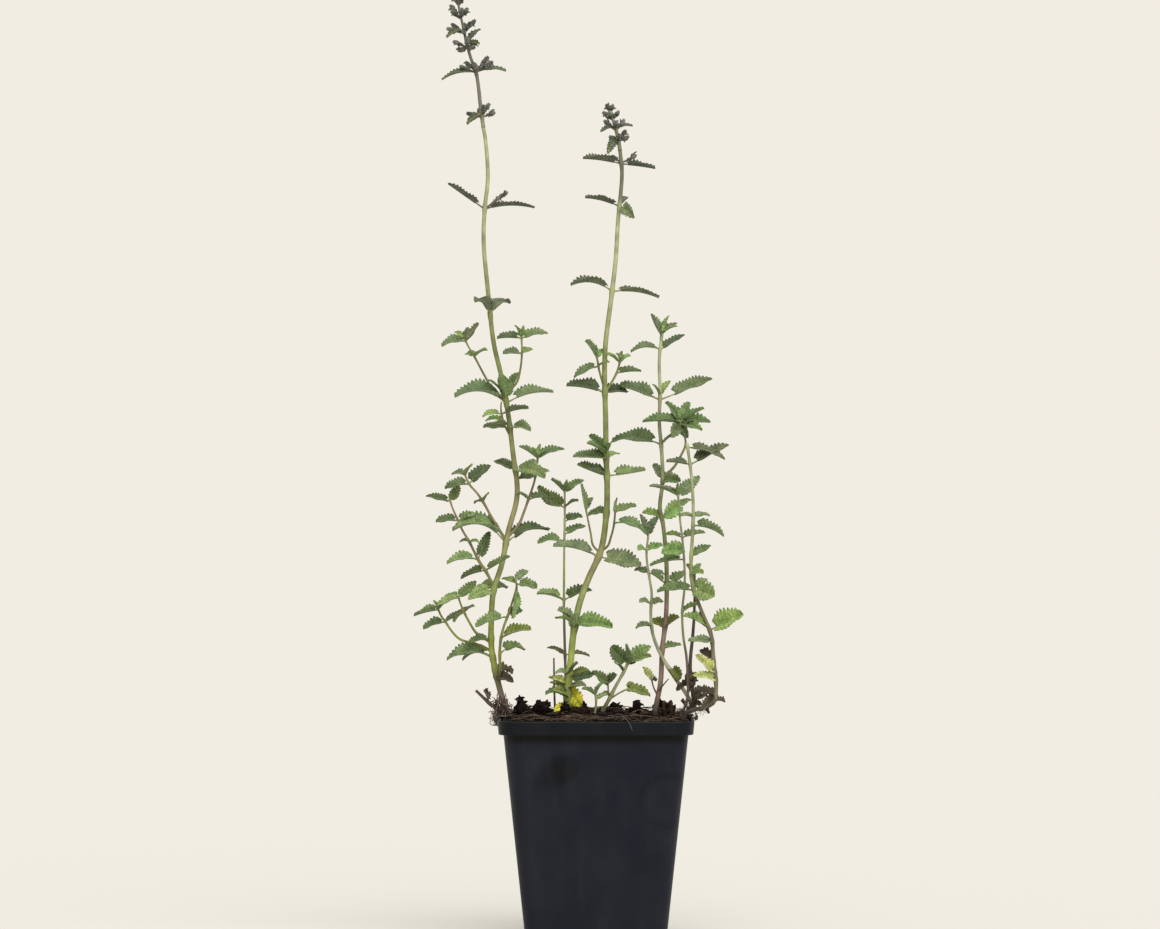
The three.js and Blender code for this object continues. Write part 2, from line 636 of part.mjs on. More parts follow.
const STEM_RIGHT = {
  path: [
    [26, 9, 93], [27.1, 9, 105.5], [29.5, 9, 118], [30.2, 9, 132], [32, 9, 148], [32.3, 9, 165],
    [32, 9, 175], [30.5, 9, 190], [29.1, 9, 197], [30.3, 8.5, 210], [29.6, 8, 226],
    [28.8, 7.5, 235], [29.1, 7, 250], [28.8, 7, 264], [30, 7, 276.5],
  ],
  widths: [2.5, 1.6],
  leaves: [
    [276, 25, -4, 285.5, 6.5, 60, 0, 0.08],
    [276, 37, 4, 281.5, 4.5, 35],
    [269.5, 15.8, -3, 268, 5.5, 30, 0.18, 0.2],
    [269.5, 40.5, 3, 276.2, 5, 30, 0.05, 0.15],
    [246.5, 10.5, -3, 253, 8, 40, 0.06, 0.22],
    [246.5, 53, 4, 256, 7.5, 35, 0.04, 0.3],
    [248, 25.5, -6, 253.5, 2.5],
    [248, 34, 4, 255, 3],
    [226, 7.5, 4, 227.5, 8.5, 40, 0.15, 0.2],
    [226, 36, -5, 230.5, 4],
    [210, 26, 6, 217, 4],
    [210, 38.5, -4, 209.3, 6, 60, 0.1, 0.05],
    [193, 21, -3, 195, 5, 40],
    [162, 25, -4, 167.5, 5, 40, 0.1, 0.3],
    [162, 41, 4, 167.5, 5, 40, 0.1, 0.3],
    [143, 38, -3, 147.5, 6, 45, 0.1, 0.1],
    [143, 25.5, 3, 146, 5, 45, 0.1, 0.1],
    [133, 39, 4, 134.5, 5],
  ],
  buds: [[276, 33.3, 0, 285, 2.4]],
  shoots: [
    {
      path: [[27.9, 8.8, 112], [26.2, 7.5, 115.5], [25.2, 6.8, 119.8]],
      widths: [1, 0.8],
      leaves: [[119.4, 21.2, -1, 124.8, 4, 60, 0, 0.05], [119, 27.5, 0, 118.2, 2.5, 40]],
    },
    {
      path: [[28.2, 8.6, 113.2], [30.4, 6.5, 116.2], [33, 4.5, 119.4]],
      widths: [1, 0.7],
      leaves: [],
    },
    {
      path: [
        [30.3, 8.5, 211], [35.5, 6.5, 216], [38.5, 5, 221], [40.6, 4, 226], [40, 3.5, 231],
        [38, 3, 236.8],
      ],
      widths: [1.6, 1.2],
      leaves: [
        [236, 21, -4, 236.3, 7, 30, 0.1, 0.12],
        [236, 31.5, 3, 245.3, 5],
        [236, 42.5, 3, 245.3, 5],
        [236, 49, -2, 242.5, 5],
        [236, 52, 2, 236.2, 7, 30, 0.1, 0.12],
        [236, 48, -5, 232.3, 5.5, 40],
        [235.5, 34, -6, 229.3, 6, 55, 0.1, 0.05],
        [235.5, 41.5, -6, 229, 5.5, 55, 0.1, 0.05],
        [236, 38, 10, 240, 5],
      ],
    },
  ],
};

const STEM_FAR_RIGHT = {
  path: [
    [36.5, -6, 93], [41, -6.8, 104.6], [44.5, -7.5, 106], [49, -8, 107], [53, -8, 109.3],
    [54.3, -8, 116], [53.2, -8, 128], [52, -8, 140], [48, -8.5, 150], [43.7, -9, 162],
    [42.9, -9, 172], [43.5, -9, 185], [43.8, -9.5, 197], [43, -10, 211], [41, -10, 226.5],
  ],
  widths: [2, 1.5],
  leaves: [
    [225, 58, -2, 219.3, 6, 30, 0.1, 0.15],
    [217, 60, 3, 225.8, 6.5, 35, 0.05, 0.2],
    [217, 31.5, -3, 218.3, 5],
    [193.5, 51.5, 3, 193.8, 4],
    [193.5, 37.5, -4, 193.5, 3],
    [189.5, 57.5, -3, 184.5, 6, 35, 0.15, 0.15],
    [176, 52, 3, 180.3, 5, 40, 0.05, 0.1],
    [167, 48.5, -4, 168, 4],
    [160, 27.5, -2, 159.3, 6.5, 35, 0.12, 0.15],
    [160, 53.5, -3, 157.3, 9, 55, 0.08, 0.12],
    [161, 50.5, 4, 165, 4.5],
    [142, 66.5, -4, 149.5, 10, 60, 0.05, 0.2],
    [142, 39.5, -4, 148.5, 7, 40, 0.15, 0.2],
    [137, 41.5, -5, 137.5, 4.5, 40, 0.05, 0.1],
    [128, 47, 4, 132.5, 4, 50],
    [123, 45, -4, 131, 5.5, 65, 0, 0.1],
    [119.5, 43.5, -5, 121.5, 4.5, 60, 0.1, 0.1],
    [112, 47, -5, 105.5, 4.5, 60],
    [110, 58.5, 3, 109.3, 3],
    [112, 45, -5, 114.5, 5, 50],
  ],
};

// A pale stem that leans left from the pot's right corner, in front of the right stem.
const STEM_LEANING = {
  path: [
    [36, 8.5, 93], [41, 8.2, 103.5], [43.4, 7.9, 107.6], [40.8, 7.6, 113], [37.2, 7, 118],
    [33.3, 5.8, 124], [30, 4.6, 129.5], [27.6, 3.6, 134.5], [25.6, 2, 141], [24.9, 0, 150],
    [25.3, -2, 158], [24, -3, 167], [22.9, -3, 176], [23.7, -3, 185],
  ],
  widths: [2.2, 1],
  leaves: [
    [184.5, 20, -2, 194.5, 5.5, 55, 0, 0.1],
    [184.5, 28.5, 3, 193.5, 4, 40],
    [178, 18.7, -3, 178.5, 4],
    [178, 30.3, 3, 180.3, 4.5],
    [167.5, 17.5, 3, 169, 4],
    [167.5, 31, -3, 167, 4],
    [153.5, 19.5, -3, 154.7, 4],
    [153.5, 30.5, 3, 154.7, 4],
    [143.5, 18, -3, 142.5, 4, 30, 0.1, 0.15],
    [124.5, 37.5, -2, 118.6, 5, 70, 0.25, 0.25],
  ],
};

const STEM_BARE = {
  path: [
    [36.2, 3.2, 93], [41.2, 3.2, 103.5], [44.6, 3.2, 108.5], [44, 3, 114], [42.9, 2.8, 121],
    [42.9, 2.4, 128], [43.9, 2, 138], [44.6, 1, 148], [44.8, 0, 158], [44.6, -1, 168],
  ],
  widths: [2.2, 1.2],
  leaves: [
    [117.5, 36.6, -2, 114, 3.4, 50],
    [121.5, 40.6, -3, 117.4, 3.4, 60],
    [121.5, 45.4, 3, 118.2, 3.4, 60],
    [112, 49, 3, 115.2, 3.4, 55],
    [109.5, 50.6, 2, 111.4, 3.2, 50],
    [167, 47.5, 3, 172, 3],
    [167, 41, 3, 171.5, 3],
  ],
};

const STEM_SLENDER = {
  path: [
    [36, -2, 93], [39.5, -2, 104.5], [41.6, -2, 112], [41.6, -2, 120], [41, -2.5, 130],
    [39.6, -3, 139], [39.1, -3, 150], [40.2, -3, 162], [40, -3, 172], [39.3, -3, 181],
    [38, -3, 192], [37, -3, 204],
  ],
  widths: [1.3, 1],
  leaves: [
    [203, 24, -3, 207.3, 5, 25, 0.12, 0.1],
    [203, 47, 5, 211.5, 6, 55, 0.05, 0.1],
    [199, 30.5, -4, 193, 7, 75, 0.05, 0.08],
    [198, 43.5, 4, 201, 4],
    [184, 30.5, 4, 185, 3.5],
    [184, 49.5, 5, 186, 5, 30, 0.1, 0.15],
    [178.5, 29.5, -3, 177, 7, 65, 0.08, 0.08],
    [174, 24.5, 3.5, 171, 5, 30, 0.1, 0.15],
    [150, 47, -0.5, 153.5, 4],
  ],
  buds: [[203, 37, -1, 208.5, 2]],
};

const TWIG_LEFT = {
  path: [
    [-37, 12, 93], [-40.2, 12, 104.6], [-43.4, 12, 105.5], [-47, 12, 106.6], [-50.5, 12, 109.6],
    [-54.9, 12, 113.8],
  ],
  widths: [1.8, 1],
  leaves: [[108, -51.3, -2, 115.3, 3.2, 50, 0.1, 0.4]],
};

const DEAD_STUB = {
  path: [[-18.5, 3, 94], [-18.7, 3, 105.5], [-19, 3, 115], [-19.2, 3, 129]],
  widths: [1.1, 0.9],
  leaves: [],
};

// ---------------------------------------------------------------- flower spikes

const startAbove = ({ path }) => {
  const [x, y, z] = path[path.length - 1];
  return [x, y, z + SPIKE_GAP];
};

// Bracts are leaf rows, and calyces are bud rows.
const SPIKE_LEFT = {
  path: [
    startAbove(STEM_LEFT), [-52.4, 2.4, 379], [-54.5, 2.2, 395], [-57, 2, 402], [-59, 1.8, 409],
    [-60.2, 1.6, 415], [-61.6, 1.4, 421], [-63, 1.2, 428],
  ],
  widths: [1.9, 1.2],
  leaves: [
    [376, -58.5, -3, 371, 2.8, 40],
    [395.5, -70, -3, 391.5, 3.2, 30],
    [395.5, -41, 3, 396.5, 3.2, 30],
    [415, -68, -2, 411, 2.4, 40],
    [408.5, -52.5, 2, 415.5, 2.4, 40],
    [408.5, -52.8, -2, 408, 2.2, 40],
  ],
  buds: [
    [375, -48.5, -2, 381, 2.2], [375, -45.8, 1, 377, 2.2], [375, -58.8, -2, 376.5, 2.2],
    [375, -51, -5, 380, 2.2], [375, -53.5, 6, 379, 2.2],
    [395.5, -62, -3, 398, 2.2], [395.5, -59.5, 3, 400.5, 2.2], [395.5, -49, -2, 402.5, 2.3],
    [395.5, -47, 2, 400.5, 2.3], [395.5, -55, -6, 399, 2.2], [395.5, -54.5, 7, 399, 2.2],
    [407, -65, -2, 409.5, 2.2], [407, -62.8, 4, 405.5, 2.2], [407, -54, 1, 409.5, 2.2],
    [407, -55, -4, 406.5, 2.2], [407, -58.5, -5.5, 411, 2.2], [407, -58.5, 7, 411, 2.2],
    [413.5, -68, -1, 415.5, 2.2], [413.5, -66, 4, 418, 2.2], [413.5, -55, 0, 419.5, 2.3],
    [413.5, -57, -5, 418, 2.2], [413.5, -60, -5, 413.5, 2.2], [413.5, -60, 6.5, 418, 2.2],
    [420, -66, -2, 423.5, 2.2], [420, -66.5, 2, 426.5, 2.2], [420, -58.5, 0, 425, 2.2],
    [420, -61, -4, 424.5, 2.2], [420, -61, 5, 424.5, 2.2], [426, -65.5, -1, 430.5, 2],
    [426, -60.5, 2, 430.5, 2], [426, -63.2, -2, 431.8, 2], [426, -64, 3, 431.5, 2],
  ],
};

const SPIKE_MIDDLE = {
  path: [
    startAbove(STEM_MIDDLE), [10.2, -3, 364.5], [8.9, -3, 370], [7.2, -3, 375], [6.2, -3, 378],
  ],
  widths: [1.9, 1.2],
  leaves: [
    [365.5, 5.2, -3, 358, 3.2, 50],
    [370.5, 2, -2, 368, 2.4, 40],
    [370, 16.8, 2, 371.3, 2.4, 40],
  ],
  buds: [
    [364, 15, 1, 366.5, 2.2], [364, 13.5, -3, 369, 2.2], [364, 6, 1, 366.5, 2.2],
    [364, 10.5, -5.5, 367, 2.2], [364, 10.5, 5.5, 367, 2.2],
    [369, 13, 1, 374.2, 2.2], [369, 3.6, -1, 373.5, 2.2], [369, 8.5, -5, 373, 2.2],
    [369, 8.8, 5, 373, 2.2], [374, 3, 0, 377.5, 2.2], [374, 10.5, 1, 378, 2.2],
    [374, 6, -4, 377.5, 2.2], [374, 7, 4, 377.5, 2.2], [377, 4.6, -1, 381, 2],
    [377, 7.8, 1, 381, 2],
  ],
};

// ---------------------------------------------------------------- pot and soil

// Points round a square with rounded corners.
function roundedSquare(half, radius, z, segments) {
  const points = [];
  for (let corner = 0; corner < 4; corner++) {
    const start = (corner * Math.PI) / 2;
    const centre = new THREE.Vector2(half - radius, half - radius).rotateAround(
      new THREE.Vector2(),
      start,
    );
    for (let k = 0; k <= segments; k++) {
      const angle = start + ((Math.PI / 2) * k) / segments;
      points.push(
        new THREE.Vector3(centre.x + radius * Math.cos(angle), centre.y + radius * Math.sin(angle), z),
      );
    }
  }
  return points;
}

// A closed solid through rings of equal count, from the lowest to the highest.
function loft(rings, topCentre) {
  const count = rings[0].length;
  const points = rings.flat();
  const triangles = [];
  for (let ring = 0; ring < rings.length - 1; ring++) {
    for (let k = 0; k < count; k++) {
      const [a, b] = [ring * count + k, ring * count + ((k + 1) % count)];
      triangles.push([a, b, b + count], [a, b + count, a + count]);
    }
  }
  const bottomCentre = new THREE.Vector3(0, 0, rings[0][0].z);
  points.push(bottomCentre, topCentre);
  const [low, high] = [points.length - 2, points.length - 1];
  const last = (rings.length - 1) * count;
  for (let k = 0; k < count; k++) {
    const next = (k + 1) % count;
    triangles.push([low, next, k], [high, last + k, last + next]);
  }
  return toSolid(geometryFrom(points, triangles));
}

const bodyHalfAt = (z) =>
  THREE.MathUtils.mapLinear(z, 0, POT.height - POT.rimDepth, POT.baseHalf, POT.bodyTopHalf);
const cornerAt = (z) =>
  THREE.MathUtils.mapLinear(z, 0, POT.height, POT.cornerBase, POT.cornerTop);

function potSolid() {
  const rimLow = POT.height - POT.rimDepth;
  const ledge = POT.height - POT.ledgeDrop;
  const ring = (half, z, inset = 0) =>
    roundedSquare(half - inset, cornerAt(z) - inset, z, POT.cornerSegments);
  const above = POT.height + 1;
  const outer = loft(
    [
      ring(POT.baseHalf, 0),
      ring(POT.bodyTopHalf, rimLow),
      ring(POT.rimLowHalf, rimLow),
      ring(POT.rimHalf, POT.height),
    ],
    new THREE.Vector3(0, 0, POT.height),
  );
  const inner = loft(
    [
      ring(bodyHalfAt(POT.floor), POT.floor, POT.wall),
      ring(bodyHalfAt(ledge), ledge, POT.wall),
      ring(POT.rimLowHalf, ledge, POT.wall),
      ring(POT.rimHalf, above, POT.wall),
    ],
    new THREE.Vector3(0, 0, above),
  );
  let pot = outer.subtract(inner);
  for (const x of [-1, 1]) {
    for (const y of [-1, 1]) {
      const drain = new THREE.CylinderGeometry(POT.drainRadius, POT.drainRadius, 4 * POT.floor, 12);
      drain.rotateX(Math.PI / 2);
      drain.translate(x * POT.drainOffset, y * POT.drainOffset, 0);
      pot = pot.subtract(toSolid(drain));
    }
  }
  return pot;
}

// Bark chips and peat lumps on the soil, as [x, y, z, half width, half depth, half height, turn].
const CHIPS = [
  [-31, -14, 102.6, 3, 4, 3.6, 20],
  [-34.5, -24, 103, 2, 3, 7.6, 8],
  [-27, -26, 103, 2.6, 3, 4.2, 40],
  [-24, 20, 103, 4, 3, 4, 70],
  [-8, 24, 103, 4.5, 3, 5, 30],
  [-14, -20, 102.5, 2.6, 3, 7, 15],
  [-4.5, -26, 101.5, 2, 3, 6, 60],
  [9, 20, 103, 4, 3.5, 4, 45],
  [17, -16, 103, 2.2, 3, 5.2, 25],
  [33, -22, 101.5, 3.6, 3, 5, 65],
  [30, 24, 102.5, 4, 4, 5, 20],
  [-34, 31, 101.5, 3, 3, 3.6, 5],
];

function chipSolid([x, y, z, halfWidth, halfDepth, halfHeight, turn], seed) {
  const random = seeded(seed);
  const chip = new THREE.IcosahedronGeometry(1, 0);
  chip.deleteAttribute("normal");
  chip.deleteAttribute("uv");
  const shape = mergeVertices(chip, 1e-4);
  const position = shape.attributes.position;
  for (let i = 0; i < position.count; i++) {
    const rough = 0.78 + 0.4 * random();
    position.setXYZ(
      i,
      position.getX(i) * halfWidth * rough,
      position.getY(i) * halfDepth * rough,
      position.getZ(i) * halfHeight * rough,
    );
  }
  shape.rotateZ(THREE.MathUtils.degToRad(turn));
  shape.translate(x, y, z);
  return toSolid(shape);
}

// Roots that creep over the soil, each an arc from one point to another.
const ROOTS = [
  [[-38, -36, 100.6], [-28, -38.5, 102.6], [-17, -37, 100.4]],
  [[-20, -38, 100.4], [-8, -39.5, 102.4], [4, -37.5, 100.4]],
  [[4, -36.5, 101], [12, -42.5, 102.2], [15, -47.2, 99.6], [16.5, -47.8, 96]],
  [[8, -33, 101], [20, -38, 102.6], [31, -35, 100.8]],
  [[-26, 38, 100.4], [-10, 36, 102.8], [6, 38.5, 100.4]],
  [[12, 38, 100.4], [26, 36.5, 102.6], [38, 33, 100.4]],
];
const ROOT_WIDTH = 1.1;

function rootSolid(path) {
  const curve = new THREE.CatmullRomCurve3(path.map((p) => new THREE.Vector3(...p)));
  const steps = path.length + 1;
  return squareStem(curve.getSpacedPoints(steps), ROOT_WIDTH, ROOT_WIDTH * 0.8);
}

function surfaceHeight(x, y, distance) {
  const ripple = Math.sin(x * 0.31 + 1.3) * Math.cos(y * 0.27 - 0.4) + Math.sin(x * 0.13 - y * 0.19);
  return SOIL.edgeHeight + SOIL.crown * (1 - distance ** 2) + SOIL.bump * ripple * (1 - distance ** 6);
}

function soilSolid(stems) {
  const ledge = POT.height - POT.ledgeDrop;
  const inset = POT.wall + SOIL.gap;
  const ring = (half, z) => roundedSquare(half - inset, cornerAt(z) - inset, z, POT.cornerSegments);
  const low = POT.floor + SOIL.gap;
  const rings = [
    ring(bodyHalfAt(low), low),
    ring(bodyHalfAt(ledge), ledge + SOIL.gap),
    ring(POT.rimLowHalf, ledge + SOIL.gap),
  ];
  const rimHalf = POT.rimLowHalf - inset;
  for (let k = 0; k < SOIL.rings; k++) {
    const share = 1 - k / SOIL.rings;
    const corner = (cornerAt(POT.height) - inset) * share;
    const outline = roundedSquare(rimHalf * share, corner, 0, POT.cornerSegments);
    outline.forEach((p) => {
      p.z = surfaceHeight(p.x, p.y, share);
    });
    rings.push(outline);
  }
  const centre = new THREE.Vector3(0, 0, surfaceHeight(0, 0, 0));
  let soil = loft(rings, centre);
  CHIPS.forEach((chip, k) => {
    soil = soil.add(chipSolid(chip, 11 + k));
  });
  ROOTS.forEach((root) => {
    soil = soil.add(rootSolid(root));
  });
  stems.forEach((stem) => {
    soil = soil.subtract(footHole(stem));
  });
  return soil;
}

// ---------------------------------------------------------------- the plant, put together

const COLOURS = {
  pot: { color: 0x26292e, roughness: 0.55, metalness: 0 },
  soil: { color: 0x2a211b, roughness: 1, metalness: 0 },
  leaf: { color: 0x6f8a55, roughness: 0.75, metalness: 0 },
  wood: { color: 0x6b5a48, roughness: 0.9, metalness: 0 },
  flower: { color: 0x5f5a5c, roughness: 0.8, metalness: 0 },
};

const STEMS = {
  stem_left: STEM_LEFT,
  stem_middle: STEM_MIDDLE,
  stem_thin: STEM_THIN,
  stem_right: STEM_RIGHT,
  stem_far_right: STEM_FAR_RIGHT,
  stem_bare_right: STEM_BARE,
  stem_slender_right: STEM_SLENDER,
  stem_leaning: STEM_LEANING,
  shoot_low: SHOOT_LOW,
  shoot_front: SHOOT_FRONT,
  twig_left: TWIG_LEFT,
  dead_stub: DEAD_STUB,
};
const WOODY = ["twig_left", "dead_stub"];

function named(name, solid, colour) {
  const mesh = new THREE.Mesh(toGeometry(solid), new THREE.MeshStandardMaterial(colour));
  mesh.name = name;
  return mesh;
}

const plant = new THREE.Group();
plant.name = "catmint";
plant.add(named("pot", potSolid(), COLOURS.pot));
plant.add(named("soil", soilSolid(Object.values(STEMS)), COLOURS.soil));
for (const [name, stem] of Object.entries(STEMS)) {
  plant.add(named(name, leafyStem(stem), WOODY.includes(name) ? COLOURS.wood : COLOURS.leaf));
}
plant.add(named("spike_left", flowerSpike(SPIKE_LEFT), COLOURS.flower));
plant.add(named("spike_middle", flowerSpike(SPIKE_MIDDLE), COLOURS.flower));

export default plant;
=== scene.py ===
# Catmint plant in a square nursery pot: the finished surfaces. Blender 4.5.
# The drawing tables are in millimetres; everything made in Blender is in metres.
import math

import bpy
import numpy as np
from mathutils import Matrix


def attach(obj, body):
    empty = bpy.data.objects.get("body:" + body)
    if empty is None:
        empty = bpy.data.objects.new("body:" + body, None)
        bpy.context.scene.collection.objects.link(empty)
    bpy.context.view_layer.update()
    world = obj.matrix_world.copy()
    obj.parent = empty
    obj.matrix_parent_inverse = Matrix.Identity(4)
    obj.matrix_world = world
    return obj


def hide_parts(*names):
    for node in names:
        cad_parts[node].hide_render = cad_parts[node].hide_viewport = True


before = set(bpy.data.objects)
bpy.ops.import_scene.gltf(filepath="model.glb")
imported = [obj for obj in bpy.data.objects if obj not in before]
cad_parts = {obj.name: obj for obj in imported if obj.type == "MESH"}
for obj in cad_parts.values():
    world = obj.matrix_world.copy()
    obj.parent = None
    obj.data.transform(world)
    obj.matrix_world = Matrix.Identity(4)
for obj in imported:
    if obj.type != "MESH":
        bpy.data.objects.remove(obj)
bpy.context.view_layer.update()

# ---------------------------------------------------------------- driving dimensions

MM = 0.001
POT = {
    "height": 100.0, "rim_half": 45.0, "rim_low_half": 44.5, "rim_depth": 6.3,
    "body_top_half": 42.3, "base_half": 32.5, "corner_top": 9.0, "corner_base": 7.0,
    "wall": 1.2, "floor": 1.6, "ledge_drop": 5.1, "drain_radius": 4.5, "drain_offset": 20.0,
}
SOIL = {"gap": 0.3, "edge_height": 99.6, "crown": 2.6, "bump": 0.7}

# The plant is drawn on a millimetre grid in the plane y = 0. Real size is a little larger,
# spread from the middle of the drawing.
DRAWING = {"middle_x": -7.3, "middle_z": 217.0, "scale": 1.021}
SWAY = {"from": 110, "growth": 90, "reach": 7, "wave": 210, "turn": 0.04}
SPREAD = {"open": 2, "crowded": 1.2, "crowded_from": 20}
SPIKE_GAP = 0.3

# The camera stands level with the middle of the drawing.
CAMERA = {"distance": 2.2, "picture_width": 0.5272, "picture_plane": -0.045, "sensor": 36.0}

ROLL, ARCH, STALK = 30, 0.1, 0.17  # a leaf row that ends early takes these
MATURE_WIDTH = 4.2
MATURE_FOLD, YOUNG_FOLD = 0.5, 0.3
SAG = 0.17
STALK_RADIUS = 0.42
SEEDS = {"growth": 100, "litter": 300, "soil": 7}

# ---------------------------------------------------------------- the stems as grown

def table(text):
    """A table of numbers: commas part its rows."""
    return [[float(number) for number in row.split()] for row in text.split(",") if row.strip()]


def drawn(widths, path, leaves="", buds="", shoots=(), below=None):
    """A stem as it is drawn. Its widths are those of the foot and the top."""
    return {
        "widths": widths, "path": table(path), "leaves": table(leaves), "buds": table(buds),
        "shoots": shoots, "below": below,
    }


